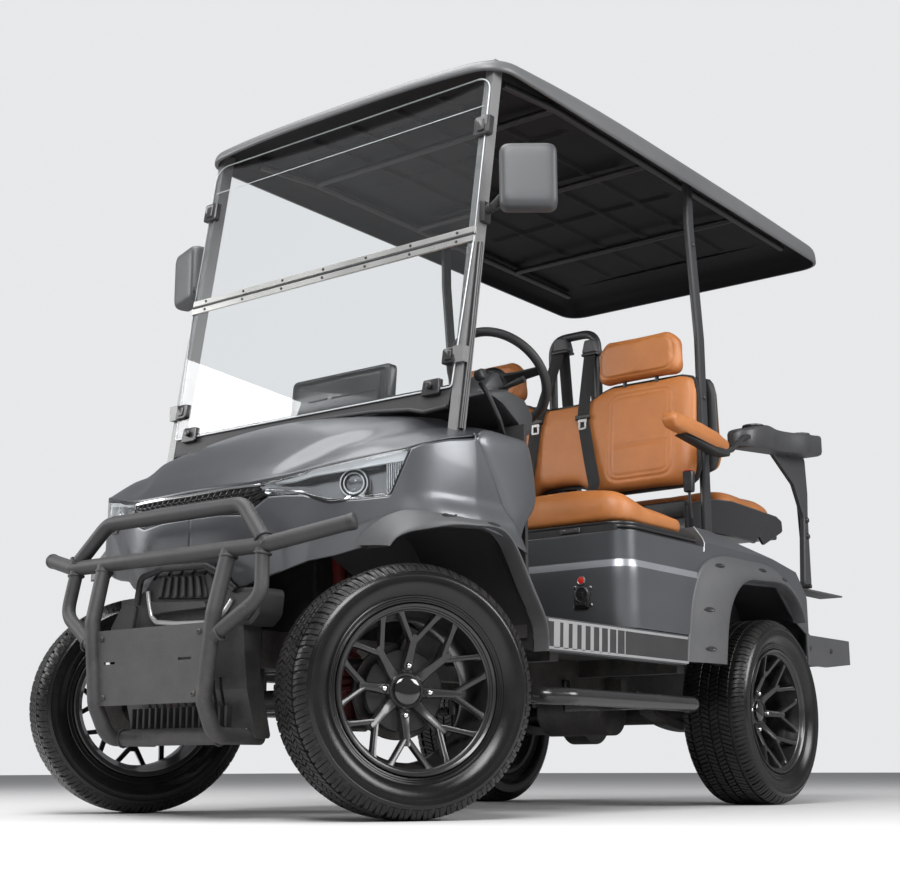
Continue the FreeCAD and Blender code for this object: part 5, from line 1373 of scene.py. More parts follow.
buildClips().piece("screenClips", "satinBlack", smooth=40)
shape = Shape()
low = [(-505, 1012), (-430, 1008), (-380, 1022), (-250, 1036), (0, 1046), (250, 1036), (380, 1022), (430, 1008),
       (505, 1012)]
leanSlab(shape, low + [(512, 1072), (-512, 1072)], 5.5, 10, 4, 1)
sweep(shape, [at(x, glassY(z) + 4, z) for x, z in low], ringSection(0.006, 10))
shape.piece("screenSkirt", "blackMould", smooth=40)
shape = Shape()
for s in (-1, 1):
    tube(shape, [(s * 541, glassY(950) + 22, 950), (s * 545, glassY(1200) + 22, 1200),
                 (s * 543, glassY(1470) + 22, 1470)], 8, 40, 14)
    tube(shape, [(s * 536, 236, 1090), (s * 552, 246, 1060), (s * 556, 290, 1000), (s * 545, 330, 955)], 7, 30, 14)
    stud(shape, [(13, -12), (15, -8), (15, 8), (13, 12), (8, 13), (0.1, 13)], (s * 552, 214, 1104), (s, 0, 0.2), 20)
shape.piece("pillarTubes", "satinBlack", smooth=45)


# Mirrors: rounded shells with a bevelled face, glass towards the driver and a clamped arm
mirror = {"width": 153, "height": 184, "z": 1640, "left": (147, 259, 37), "right": (131, 280, 20)}


def buildMirror(side, place):
    reach, station, turned = place
    half, tall = mirror["width"] / 2, mirror["height"] / 2
    turn = Matrix.Rotation(math.radians(turned), 4, "Z")
    reach += screen["halfWidth"]
    centre = at(0, 0, 0) + Vector((reach / 1000, station / 1000, mirror["z"] / 1000))

    def put(x, depth, z):
        v = turn @ Vector((x / 1000, depth / 1000, z / 1000)) + centre
        return Vector((v.x * side, v.y, v.z))

    def ring(inset, depth, radius):
        corners = [Vector((a * (half - inset), b * (tall - inset), 0))
                   for a, b in ((-1, -1), (1, -1), (1, 1), (-1, 1))]
        return [put(p.x, depth, p.y) for p in roundCorners(corners, max(4, radius), 8, True)]

    shell, glass, arm = Shape(), Shape(), Shape()
    rows = [ring(i, u, r) for i, u, r in ((7, 46, 20), (6, 50, 21), (4, 52, 22), (1, 51, 25), (0, 47, 26),
                                          (0, 26, 26), (1.5, 16, 26), (4, 9, 26), (8, 4.5, 26),
                                          (13, 2, 25), (19, 0.9, 22), (27, 0.3, 20), (45, 0, 12), (66, 0, 6))]
    shell.loft([row[::side] for row in rows], first=False)
    rows = [ring(6.5, 45.5, 20), ring(7.5, 47.5, 20), ring(40, 47.5, 12)]
    glass.loft([row[::-side] for row in rows], first=False)
    z = mirror["z"] - 76
    inner = turn @ Vector((20 - half, 32, 0))
    end = (reach + inner.x, station + inner.y, mirror["z"] - 34)
    tube(arm, [(side * 538, glassY(z) + 24, z), (side * 562, glassY(z) + 27, z + 5), (side * end[0], end[1], end[2])],
         9, 12, 14)
    for k in range(5):
        stud(arm, [(10, -3), (14, -2), (14, 2), (10, 3)], (side * (543 + k * 5.4), glassY(z) + 25, z + 1 + k),
             (side, 0.1, 0.2), 20)
    slab(arm, [(side * 536, z - 34), (side * 552, z - 34), (side * 556, z + 22), (side * 536, z + 30)], "y",
         glassY(z) + 8, glassY(z) + 42, 6, 3)
    return shell, glass, arm


for side, sideName in sides:
    shell, glass, arm = buildMirror(side, mirror[sideName.lower()])
    shell.piece(f"mirrorShell{sideName}", "mirrorShell", stands=("mirrors",), slot="mirror_shell", smooth=40)
    glass.piece(f"mirrorGlass{sideName}", "mirrorGlass", smooth=30)
    arm.piece(f"mirrorArm{sideName}", "blackMould", smooth=40)


# Roof: bowed shell with a tall light edge, thin front lip and a dark ribbed lining
roof = {
    "halfWidth": 575, "frontY": 240, "rearY": 2412, "z": 1990, "corner": 90, "crown": 98,
    "bow": [(220, 38), (410, 61), (840, 92), (1300, 97), (1712, 98), (2100, 93), (2432, 85)],
    "profile": [(9, 1), (4, 0), (1, 3), (0, 10), (0.6, 26), (2.4, 44), (6, 58), (12, 68), (22, 76), (36, 81),
                (60, 86), (110, 91), (180, 95), (280, 97.5), (420, 98), (540, 98)],
    "lining": [(9, 2), (12, 14), (16, 34), (24, 54), (44, 66), (90, 74), (180, 80)],
}
roofBow = Spline(roof["bow"])


def roofRing(inset, height):
    half, y0, y1 = roof["halfWidth"] - inset, roof["frontY"] + inset, roof["rearY"] - inset
    across = (-1, -0.85, -0.7, -0.5, -0.3, -0.1, 0.1, 0.3, 0.5, 0.7, 0.85, 1)
    front = [(half * t, y0 + 40 * abs(t) ** 3) for t in across]
    flank = [(half, mix(y0 + 40, y1, i / 16)) for i in range(1, 16)]
    rear = [(half, y1)] + [(half * (1 - i / 5), y1) for i in range(1, 10)] + [(-half, y1)]
    points = front + flank + rear + [(-x, y) for x, y in reversed(flank)]
    corner = max(6, roof["corner"] - inset * 0.3)
    ring = []
    count = len(points)
    sharp = {0, 11, 27, 37}
    for i, (x, y) in enumerate(points):
        if i in sharp:
            a, b = Vector(points[i - 1]), Vector(points[(i + 1) % count])
            p = Vector((x, y))
            trim = min(corner, 0.7 * half)
            start, end = p + (a - p).normalized() * trim, p + (b - p).normalized() * trim
            for k in range(9):
                t = k / 8
                ring.append((1 - t) ** 2 * start + 2 * t * (1 - t) * p + t * t * end)
        elif all(math.hypot(x - points[k][0], y - points[k][1]) > min(corner, 0.7 * half) + 2 for k in sharp):
            ring.append(Vector((x, y)))
        else:
            ring.append(None)
    return [p and at(p.x, p.y, roof["z"] + height * (roofBow(p.y) / roof["crown"])) for p in ring]


def ringRows(profile):
    # keeps the same corner points in every ring
    rings = [roofRing(inset, height) for inset, height in profile]
    keep = [i for i in range(len(rings[0])) if all(ring[i] is not None for ring in rings)]
    return [[ring[i] for i in keep] for ring in rings]


shape = Shape()
shape.loft([row[::-1] for row in ringRows(roof["profile"])], first=False)
shape.piece("roofShell", "roofShell", stands=("roof",), slot="roof_shell", smooth=50)
shape = Shape()
shape.grid(ringRows(roof["lining"]), closeColumns=True)
shape.piece("roofInnerEdge", "roofUnder", smooth=50)


def buildLining():
    shape, rows = Shape(), []
    for i in range(101):
        x = mix(-400, 400, i / 100)
        row = []
        for j in range(121):
            y = mix(418, 2230, j / 120)
            lift = 80 * roofBow(y) / roof["crown"] + 7 * (1 - (x / 400) ** 2)
            rib = 0.0
            for line in (-250, -90, 90, 250):
                rib = max(rib, 1 - smoothStep(7, 12, abs(x - line)))
            for line in (560, 900, 1240, 1580, 1920):
                rib = max(rib, 1 - smoothStep(7, 12, abs(y - line)))
            rim = min(1, min(400 - abs(x), y - 418, 2230 - y) / 30)
            row.append(at(x, y, roof["z"] + lift - 9 * rib * rim))
        rows.append(row)
    shape.grid(rows)
    return shape


buildLining().piece("roofLining", "roofUnder", smooth=30)
shape = Shape()
railX, railZ, frontZ = 480, 2040, 2016
for y in (700, 1240, 1860):
    tube(shape, [(-railX, y, railZ), (railX, y, railZ)], 11, 0, 14)
for s in (-1, 1):
    tube(shape, [(s * railX, 430, frontZ), (s * railX, 700, railZ), (s * railX, 2250, railZ)], 12, 60, 14)
shape.piece("roofFrame", "frameBlack", smooth=50)


# Dashboard with rounded top, glovebox lines, display and switches
def buildDash():
    shape, rows = Shape(), []
    side = [(252, 1062), (262, 1076), (330, 1092), (420, 1080), (462, 1040), (455, 990), (400, 962), (388, 1000),
            (300, 1050)]
    profile = flatCorners(side, 16, 4)
    centre = Vector((sum(p.x for p in profile) / len(profile), sum(p.y for p in profile) / len(profile), 0))
    for x, grow in ((-552, 0.82), (-548, 0.93), (-538, 0.985), (-520, 1), (-200, 1), (0, 1), (200, 1), (520, 1),
                    (538, 0.985), (548, 0.93), (552, 0.82)):
        rows.append([at(x, centre.x + (p.x - centre.x) * grow, centre.y + (p.y - centre.y) * grow) for p in profile])
    shape.loft(rows)
    slab(shape, [(388, 934), (400, 962), (400, 1010), (388, 1010)], "x", -545, 545, 4, 2)
    return shape


def leanBack(shape, outline, low, high, radius, bevel):
    # plate of the display, which leans back a little
    part = Shape()
    slab(part, outline, "y", low, high, radius, bevel)
    shape.add([Vector((v.x, v.y + (v.z - 1.066) * 0.09, v.z)) for v in part.vertices], part.faces)


buildDash().piece("dashBoard", "dashMould", stands=("dashboard",), slot="dash_plastic", smooth=45)
shape = Shape()
leanBack(shape, box(-171, 200, 1076, 1212), 264, 300, 18, 6)
leanBack(shape, box(-150, 180, 1072, 1090), 258, 330, 5, 3)
leanBack(shape, box(-140, 168, 1106, 1190), 259, 266, 12, 2)
shape.piece("displayHousing", "satinBlack", smooth=45)
shape = Shape()
leanBack(shape, box(-158, 187, 1092, 1202), 299, 303, 8, 1)
shape.piece("displayScreen", "screenBlack", smooth=30)
shape = Shape()
sweep(shape, [at(p.x, 261 + (p.y - 1066) * 0.09, p.y) for p in roundCorners([Vector((x, z, 0))
        for x, z in box(-160, 190, 1086, 1202)], 14, 5, True)],
      slabSection(0.003, 0.004, 0.001), closed=True)
for x in (-60, 30, 120):
    leanBack(shape, box(x - 36, x + 36, 1136, 1141), 257.5, 260, 1, 0.6)
shape.piece("displayTrim", "guardGrey", smooth=40)
shape = Shape()
for x in (-60, -20, 20, 60):
    slab(shape, box(x - 15, x + 15, 1012, 1034), "y", 452, 462, 4, 2)
for x in (-420, 120, 430):
    stud(shape, [(30, -4), (30, 4), (27, 6), (24, 3), (8, 2), (0.1, 2)], (x, 457, 1016), (0, 1, 0.1), 28)
slab(shape, box(-360, -120, 985, 1050), "y", 448, 462, 12, 3)
shape.piece("dashFittings", "gripBlack", smooth=40)


# Steering wheel, column housing, stalks and pedal pads
steering = {"centre": (290, 660, 1231), "radius": 154, "grip": 14, "angle": 42}
wheelTurn = math.radians(steering["angle"])
wheelFrame = Matrix(((1, 0, 0, 0), (0, math.sin(wheelTurn), math.cos(wheelTurn), 0),
                     (0, -math.cos(wheelTurn), math.sin(wheelTurn), 0), (0, 0, 0, 1)))
wheelFrame = Matrix.Translation(at(*steering["centre"])) @ wheelFrame


def onWheel(x, y, z):
    return wheelFrame @ Vector((x / 1000, y / 1000, z / 1000))


def buildSteeringWheel():
    rim, spokes, trim = Shape(), Shape(), Shape()
    r, grip = steering["radius"], steering["grip"]
    rows = []
    for i in range(96):
        a = 2 * math.pi * i / 96
        bump = 1 + 0.05 * sum(math.exp(-((((a - c + math.pi) % (2 * math.pi)) - math.pi) / 0.22) ** 2)
                              for c in (0.42, math.pi - 0.42))
        row = []
        for k in range(16):
            b = 2 * math.pi * k / 16
            reach = r + grip * bump * math.cos(b) * 0.96
            row.append(onWheel(reach * math.cos(a), reach * math.sin(a), grip * bump * math.sin(b)))
        rows.append(row)
    rim.grid(rows, closeRows=True, closeColumns=True)
    for angle in (0, 180, 90):
        a = math.radians(angle)
        ux, uy = math.cos(a), math.sin(a)
        path = [onWheel(ux * q, uy * q, z) for q, z in ((34, -24), (70, -20), (105, -12), (r - 4, -2))]
        sweep(spokes, path, slabSection(0.034, 0.010, 0.003), up=wheelFrame.to_3x3() @ Vector((0, 0, 1)),
              scales=[1.25, 1.0, 0.85, 0.75])
        for e in (-13, 13):
            line = [onWheel(ux * q - uy * e * k, uy * q + ux * e * k, z + 6.5)
                    for q, z, k in ((44, -22, 1.2), (75, -18, 0.95), (108, -10, 0.8), (r - 14, -4, 0.7))]
            sweep(trim, line, slabSection(0.004, 0.003, 0.0008))
    lathe(spokes, [(30, -43), (42, -38), (46, -30), (46, -20), (43, -12), (36, -7), (20, -4), (0.1, -3.4)],
          wheelFrame, 40)
    lathe(trim, [(33, -7.4), (34.5, -6.2), (36.5, -6.6), (37.5, -8.4)], wheelFrame, 40)
    return rim, spokes, trim


rim, spokes, trim = buildSteeringWheel()
rim.piece("steeringRim", "gripBlack", body="steering_wheel", stands=("steering_wheel",), slot="wheel_grip", smooth=60)
spokes.piece("steeringSpokes", "satinBlack", body="steering_wheel", smooth=40)
trim.piece("steeringTrim", "stripeSilver", body="steering_wheel", smooth=40)
shape = Shape()
rows = []
for q, w, low, high in ((-46, 42, -36, 40), (-52, 50, -42, 46), (-90, 52, -46, 50), (-150, 50, -48, 48),
                        (-190, 44, -44, 40), (-200, 36, -36, 32)):
    corners = roundCorners([Vector((-w, low, 0)), Vector((w, low, 0)), Vector((w * 0.88, high, 0)),
                            Vector((-w * 0.88, high, 0))], 14, 4, True)
    rows.append([onWheel(p.x, -p.y, q) for p in corners])
shape.loft(rows, flip=True)
shape.piece("columnHousing", "columnGrey", stands=("steering_column",), slot="dash_plastic", smooth=40)
shape = Shape()
sweep(shape, [onWheel(0, 0, -180), onWheel(0, 0, -372)], ringSection(0.024, 20))
for s in (-1, 1):
    path = roundCorners([onWheel(s * 40, 0, -80), onWheel(s * 80, -4, -74), onWheel(s * 128, -10, -62)], 0.02, 5)
    sweep(shape, path, ringSection(0.0065, 12), scales=[1 + 0.5 * (i / (len(path) - 1)) for i in range(len(path))])
lathe(shape, [(12, -6), (14, 0), (14, 8), (10, 10), (0.1, 10)], discMatrix(onWheel(52, 16, -110), (1, 0, 0)), 20)
shape.piece("columnStalks", "gripBlack", smooth=45)
shape = Shape()
for x, width in ((160, 62), (320, 92)):
    for k in range(5):
        t = (k + 0.5) / 5
        y, z = mix(514, 562, t), mix(616, 536, t)
        slab(shape, box(x - width / 2 + 5, x + width / 2 - 5, z - 3, z + 3), "y", y - 2, y + 5, 2, 1.5)
shape.piece("pedalRibs", "gripBlack", smooth=40)
print("cab ready")


# Soft pieces: outline and thickness in a flat frame, remeshed, inflated as cloth, then shaped and seamed
def resample(points, gap):
    total, count = 0.0, len(points)
    spans = [(points[i], points[(i + 1) % count]) for i in range(count)]
    lengths = [(b - a).length for a, b in spans]
    steps = max(24, int(sum(lengths) / gap))
    result, i = [], 0
    for k in range(steps):
        goal = sum(lengths) * k / steps
        while total + lengths[i] < goal:
            total += lengths[i]
            i += 1
        result.append(spans[i][0].lerp(spans[i][1], (goal - total) / max(1e-6, lengths[i])))
    return result


def insetRing(points, by):
    count, result = len(points), []
    for i in range(count):
        a = (points[i] - points[i - 1]).normalized()
        b = (points[(i + 1) % count] - points[i]).normalized()
        across = Vector((-(a.y + b.y), a.x + b.x, 0))
        result.append(points[i] + across.normalized() * by)
    return result


def padRings(outline, radius, profile, gap=14):
    corners = flatCorners(outline, radius, 8)
    if sum(a.x * b.y - b.x * a.y for a, b in zip(corners, corners[1:] + corners[:1])) < 0:
        corners.reverse()
    base = resample(corners, gap)
    rows = []
    for by, h in profile:
        ring = insetRing(base, by)
        rows.append([Vector((p.x / 1000, p.y / 1000, h / 1000)) for p in ring])
    return rows


def channelDepth(p, q, lines):
    # how far a sewn line presses in at a place
    press = 0.0
    for points, width, depth in lines:
        for a, b in zip(points, points[1:]):
            spans = [(min(a[k], b[k]) - 3 * width, max(a[k], b[k]) + 3 * width) for k in (0, 1)]
            if not (spans[0][0] <= p <= spans[0][1] and spans[1][0] <= q <= spans[1][1]):
                continue
            dx, dy = b[0] - a[0], b[1] - a[1]
            t = min(1, max(0, ((p - a[0]) * dx + (q - a[1]) * dy) / max(1e-6, dx * dx + dy * dy)))
            off = math.hypot(p - a[0] - t * dx, q - a[1] - t * dy) / width
            press = max(press, depth * math.exp(-off * off))
    return press


def loop(p0, p1, q0, q1, radius):
    corners = roundCorners([Vector((p0, q0, 0)), Vector((p1, q0, 0)), Vector((p1, q1, 0)), Vector((p0, q1, 0))],
                           radius, 6, True)
    return [(c.x, c.y) for c in corners] + [(corners[0].x, corners[0].y)]


def softPiece(name, rows, thick, form, lines=(), voxel=9, push=7, **options):
    # voxel is the cell of the remesh and push the most that the cloth may swell, in millimetres
    shape = Shape()
    shape.loft(rows)
    mesh = shape.mesh(name)
    mesh.update()
    piece = placeObject(name, mesh)
    modify(piece, "REMESH", mode="VOXEL", voxel_size=voxel / 1000)
    applyModifiers(piece)
    start = [v.co.copy() for v in piece.data.vertices]
    cloth = modify(piece, "CLOTH")
    cloth.settings.use_pressure = True
    cloth.settings.uniform_pressure_force = 4
    cloth.settings.effector_weights.gravity = 0
    cloth.point_cache.frame_start, cloth.point_cache.frame_end = 1, 20
    for step in range(1, 21):
        bpy.context.scene.frame_set(step)
    applyModifiers(piece)
    bpy.context.scene.frame_set(1)
    for v, before in zip(piece.data.vertices, start):
        moved = v.co - before
        if moved.length > push / 1000:
            v.co = before + moved * (push / 1000 / moved.length)
    modify(piece, "SMOOTH", factor=0.5, iterations=3)
    modify(piece, "SUBSURF", levels=1, render_levels=1)
    applyModifiers(piece)
    for v in piece.data.vertices:
        p, q, h = v.co.x * 1000, v.co.y * 1000, v.co.z * 1000
        if lines and h > thick * 0.5:
            h -= channelDepth(p, q, lines)
        v.co = form(p, q, h)
    piece.data.update()
    settle(piece, "tanLeather", smooth=60, **options)
    return piece


# Front bench: thick rolled front, ends that fall away, a light dip between the two places
seats = {
    "frontProfile": [(16, 0), (4, 5), (0, 18), (0, 46), (3, 66), (11, 84), (26, 97), (50, 104)],
    "rearProfile": [(14, 0), (4, 4), (0, 14), (0, 34), (4, 52), (14, 66), (32, 75)],
    "backProfile": [(10, 20), (2, 22), (0, 30), (1, 42), (6, 55), (16, 64), (32, 69)],
    "shellProfile": [(26, 0), (12, 1), (4, 5), (0, 12), (0, 21), (8, 23)],
    "headProfile": [(16, 0), (5, 3), (0, 12), (0, 38), (4, 48), (14, 55)],
    "armProfile": [(9, 0), (2, 4), (0, 12), (0, 36), (2, 44), (9, 48)],
    "benchHalf": 570, "rearHalf": 455, "backHalf": 524, "frontLow": 999, "frontHigh": 1388, "rearLow": 1062,
    "rearHigh": 1398,
}


def frontForm(p, q, h):
    top = h / 104
    drop = 0.40 * smoothStep(360, 560, abs(p)) * (0.25 + 0.75 * smoothStep(10, 220, q))
    slope = 0.10 * smoothStep(120, 420, q) + 0.03 * math.exp(-(p / 90) ** 2)
    return at(p, 866 + q, 812 + 1.02 * max(0, h) * (1 - (drop + slope) * min(1, top * 1.2)))


outline = box(-seats["benchHalf"], seats["benchHalf"], 8, 416)
softPiece("benchCushion", padRings(outline, 84, seats["frontProfile"]), 104, frontForm, voxel=9, push=8,
          body="front_seat_lid", stands=("front_cushion",), slot="leather")


def rearForm(p, q, h):
    drop = 0.10 * smoothStep(340, 460, abs(p)) + 0.16 * smoothStep(290, 400, q)
    return at(p, 1745 + q, 961 + 1.1 * max(0, h) * (1 - drop * min(1, h / 75)))


outline = box(-seats["rearHalf"], seats["rearHalf"], 10, 390)
softPiece("rearCushion", padRings(outline, 60, seats["rearProfile"]), 75, rearForm, [([(-300, 60), (300, 60)], 5, 4)],
          voxel=9, push=7,
          body="rear_seat_flip", stands=("rear_cushion",), slot="leather")


# Backrests: two places with a dip between, rounded shoulders, embossed panels over a black shell
def backForm(p, q, h):
    rise = (q - seats["frontLow"]) / 373
    return at(p, mix(1474 + 3 * rise, 1400 + 40 * rise, h / 74), q)


def rearBackForm(p, q, h):
    rise = (q - seats["rearLow"]) / (seats["rearHigh"] - seats["rearLow"])
    return at(p, mix(1574 - 8 * rise, 1656 - 34 * rise, h / 74), q)


def backOutline(low, high, arch):
    half = seats["backHalf"]
    right = [(0, high - 46), (96, high - 44), (150, high - 18), (196, high - 4), (half - 60, high - 4),
             (half - 14, high - 18), (half - 2, high - 66), (half - 3, low + 60),
             (half - 18, low + 18), (half - 60, low + 4), (190, low + 4), (128, low + 10), (74, low + arch),
             (0, low + arch + 4)]
    return right + [(-p, q) for p, q in reversed(right[1:-1])]


def panelLines(low, high):
    lines = []
    for s in (-1, 1):
        a, b = span(s, 196, 442)
        lines.append((loop(a, b, low + 46, high - 40, 46), 5.5, 4.2))
        lines.append((loop(a + 15, b - 15, low + 61, high - 55, 34), 5.5, 3.0))
        lines.append(([(a + 15, mix(low, high, 0.42)), (b - 15, mix(low, high, 0.42))], 5.5, 3.0))
    return lines


frontSpan, rearSpan = (seats["frontLow"], seats["frontHigh"]), (seats["rearLow"], seats["rearHigh"])
front, rear = backOutline(*frontSpan, 44), backOutline(*rearSpan, 10)
softPiece("backCushion", padRings(front, 16, seats["backProfile"]), 69, backForm, panelLines(*frontSpan), voxel=8,
          push=8, stands=("front_backrest",), slot="leather")
softPiece("rearBackCushion", padRings(rear, 16, seats["backProfile"]), 69, rearBackForm, panelLines(*rearSpan),
          voxel=9, push=7, stands=("rear_backrest",), slot="leather")
for name, border, form in (("backShell", front, backForm), ("rearBackShell", rear, rearBackForm)):
    shape = Shape()
    shape.loft([[form(*(c * 1000 for c in v)) for v in row] for row in padRings(border, 16, seats["shellProfile"],
            20)])
    shape.piece(name, "blackMould", smooth=50)


def headForm(side):
    return lambda p, q, h: at(side * p, 1479 - h - 5 * (1 - ((p - 312) / 160) ** 2) * (h / 55), q)


for side, sideName in sides:
    outline = [(152, 1384), (470, 1384), (468, 1500), (436, 1534), (192, 1534), (160, 1498)]
    rows = padRings(outline, 34, seats["headProfile"], 10)
    piece = softPiece(f"headrest{sideName}", rows, 55, headForm(side), [(loop(172, 450, 1402, 1516, 42), 3.4, 2.8)],
                      voxel=6, push=5,
                      stands=("headrests",), slot="leather")
    if side < 0:
        piece.data.flip_normals()
shape = Shape()
for x in (-373, -250, 250, 373):
    tube(shape, [(x, 1452, 1368), (x, 1452, 1400)], 7, 0, 12)
shape.piece("headrestPosts", "satinBlack", smooth=50)


# Armrests: padded wedge over a moulded bracket, tied to the rear arm tray by a rod
def armForm(side):
    return lambda p, q, h: at(side * (563 + h), p, q)


for side, sideName in sides:
    outline = [(1122, 1152), (1136, 1176), (1240, 1178), (1330, 1171), (1420, 1161), (1490, 1142), (1497, 1118),
               (1470, 1106), (1400, 1104), (1250, 1114), (1142, 1128)]
    piece = softPiece(f"armPad{sideName}", padRings(outline, 12, seats["armProfile"], 8), 60, armForm(side), voxel=5,
                      push=4,
                      stands=("front_armrests",), slot="leather")
    if side > 0:
        piece.data.flip_normals()
    shape = Shape()
    x0, x1 = span(side, 566, 608)
    slab(shape, [(1186, 1118), (1290, 1104), (1400, 1090), (1496, 1092), (1502, 1120), (1400, 1110), (1260, 1122)],
         "x", x0, x1, 8, 4)
    slab(shape, box(1485, 1500, 1108, 1132), "x", *span(side, 522.3, 566), 3, 2)
    tube(shape, [(side * 588, 1490, 1112), (side * 580, 1560, 1128), (side * 556, 1700, 1198),
                 (side * 545, 1760, 1212)], 9, 40, 14)
    shape.piece(f"armBracket{sideName}", "blackMould", smooth=45)


# Bench tray edge, latch, belts with guides and buckles
shape = Shape()
for z, out in ((807, 3), (796, 7), (784, 4)):
    half, front = seats["benchHalf"] + out, 881 - out
    border = flatCorners([(-half, 1288), (-half, front), (half, front), (half, 1288)], 82, 10, False)
    sweep(shape, [at(p.x, p.y, z) for p in border], slabSection(0.010, 0.010, 0.002), up=(0, 0, 1))
shape.piece("benchTrayEdge", "satinBlack", body="front_seat_lid", smooth=45)
shape = Shape()
slab(shape, box(362, 430, 786, 800), "y", 861, 868, 3, 1.5)
for x in (376, 416):
    stud(shape, [(4, 0), (3.6, 1.4), (0.1, 1.8)], (x, 861, 794), (0, -1, 0), 12)
shape.piece("benchLatch", "bareSteel", body="front_seat_lid", smooth=40)


def strap(shape, points):
    sweep(shape, roundCorners([at(*p) for p in points], 0.05, 8), slabSection(0.046, 0.0016, 0.0005), up=(0, -1, 0))


belt = {
    "runs": [((101, 1478, 1545), (99, 1421, 1276), (170, 1350, 1000)),
             ((-19, 1478, 1572), (-94, 1421, 1285), (-118, 1350, 1000))],
    "buckles": [(545, 1326, 984), (130, 1352, 952)],
}
belts, guides, tongues, heads = Shape(), Shape(), Shape(), Shape()
for top, middle, low in belt["runs"]:
    strap(belts, [top, (mix(top[0], middle[0], 0.75), 1436, 1352), middle, (mix(middle[0], low[0], 0.5), 1400, 1130),
                  (mix(middle[0], low[0], 0.85), 1386, 1040), low,
                  (low[0], 1318, 930)])
    strap(belts, [(top[0], 1490, top[2] - 5), (top[0] + 14, 1496, 1300), (top[0] + 16, 1496, 1010)])
    slab(guides, [(top[0] - 30, top[2] - 26), (top[0] + 30, top[2] - 26), (top[0] + 18, top[2] + 22),
                  (top[0] - 18, top[2] + 22)], "y", 1462, 1516, 9, 5)
    slab(heads, box(top[0] - 31, top[0] + 31, top[2] - 34, top[2] - 25), "y", 1464, 1514, 3, 2)
    x, y, z = middle
    slab(heads, box(x - 29, x + 29, z - 2, z + 15), "y", y - 8, y + 4, 5, 3)
    slab(tongues, [(x - 19, z - 12), (x + 19, z - 12), (x + 17, z - 1), (x - 17, z - 1)], "y", y - 6, y - 2, 2, 1)
    for a in (-12, 12):
        slab(tongues, box(x + a - 4, x + a + 4, z - 34, z - 10), "y", y - 6, y - 2, 2, 1)
    slab(tongues, [(x - 15, z - 38), (x + 15, z - 38), (x + 16, z - 31), (x - 16, z - 31)], "y", y - 6, y - 2, 2, 1)
belts.piece("seatBelts", "beltWeb", smooth=50)
guides.piece("beltGuides", "columnGrey", smooth=45)
heads.piece("beltStops", "satinBlack", smooth=45)
tongues.piece("beltTongues", "bareSteel", smooth=40)
buckles, buttons = Shape(), Shape()
for s in (-1, 1):
    for x, y, z in belt["buckles"]:
        x *= s
        slab(buckles, [(x - 15, z - 26), (x + 15, z - 26), (x + 18, z + 42), (x - 18, z + 42)], "y", y - 12, y + 12,
             7, 4)
        tube(buckles, [(x, y, z - 20), (x, y + 2, z - 60), (x, y + 12, z - 108)], 5, 30, 12)
        slab(buttons, box(x - 12, x + 12, z + 38, z + 44.5), "y", y - 8, y + 8, 3, 1)
buckles.piece("buckles", "satinBlack", smooth=45)
buttons.piece("buckleButtons", "buttonRed", smooth=40)


# Uprights: bowed side struts into the roof, belt hoop, cross bar
uprights = {"x": 511, "path": [(1498, 806), (1498, 1500), (1456, 1880), (1454, 2062)], "bolts": (1180, 1300, 1820)}


def buildUprights():
    shape = Shape()
    for s in (-1, 1):
        # 180 mm bends where the struts lean back into the roof
        path = roundCorners([at(s * uprights["x"], y, z) for y, z in uprights["path"]], 0.18, 10)
        sweep(shape, path, slabSection(0.040, 0.022, 0.005), up=(1, 0, 0))
        for z in uprights["bolts"]:
            stud(shape, [(8, 0), (8, 3), (6, 5), (0.1, 5.2)], (s * 522, 1496 - max(0, z - 1500) * 0.11, z), (s, 0, 0),
                 16)
        slab(shape, [(1410, 2040), (1500, 2040), (1516, 2060), (1400, 2060)], "x", *span(s, 498, 524), 8, 3)
    tube(shape, [(-70, 1500, 962), (-70, 1500, 1600), (115, 1500, 1600), (115, 1500, 962)], 15, 60, 20)
    slab(shape, box(-500, 500, 1240, 1264), "y", 1488, 1512, 2, 3)
    for x in (-210, 210):
        slab(shape, box(x - 30, x + 30, 1241, 1263), "y", 1478, 1570, 3, 2)
    return shape


buildUprights().piece("uprightFrame", "uprightGrey", stands=("rear_uprights",), slot="frame_steel", smooth=45)


# Rear seat base with notched skirts, arm trays with cup pockets and their posts
def buildSeatBase():
    shape = Shape()
    skirt = [(1437, 862), (1440, 944), (1600, 984), (1758, 998), (2100, 990), (2138, 978), (2142, 938), (1990, 874),
             (1955, 902), (1920, 872), (1747, 873)]
    for s in (-1, 1):
        slab(shape, skirt, "x", *span(s, 462, 477), 10, 4)
    slab(shape, [(1432, 900), (1432, 958), (2108, 958), (2108, 906), (1960, 900), (1700, 900)], "x", -469, 469, 8, 3)
    return shape


buildSeatBase().piece("rearSeatShell", "stepBlack", stands=("rear_seat_base",), slot="arm_plastic", smooth=40)


tray = {
    "frontY": 1738, "rearY": 2344, "inner": 477.5, "cups": [(1850, 1262), (2230, 1298)],
    "top": [(1740, 1238), (1780, 1250), (1929, 1281), (2141, 1292), (2280, 1306), (2345, 1314)],
    "low": [(1740, 1176), (1780, 1180), (1929, 1195), (2141, 1216), (2280, 1230), (2345, 1238)],
    "out": [(1738, 514), (1760, 540), (1800, 558), (1900, 560), (2000, 538), (2110, 548), (2200, 572), (2290, 570),
            (2330, 548), (2344, 510)],
}


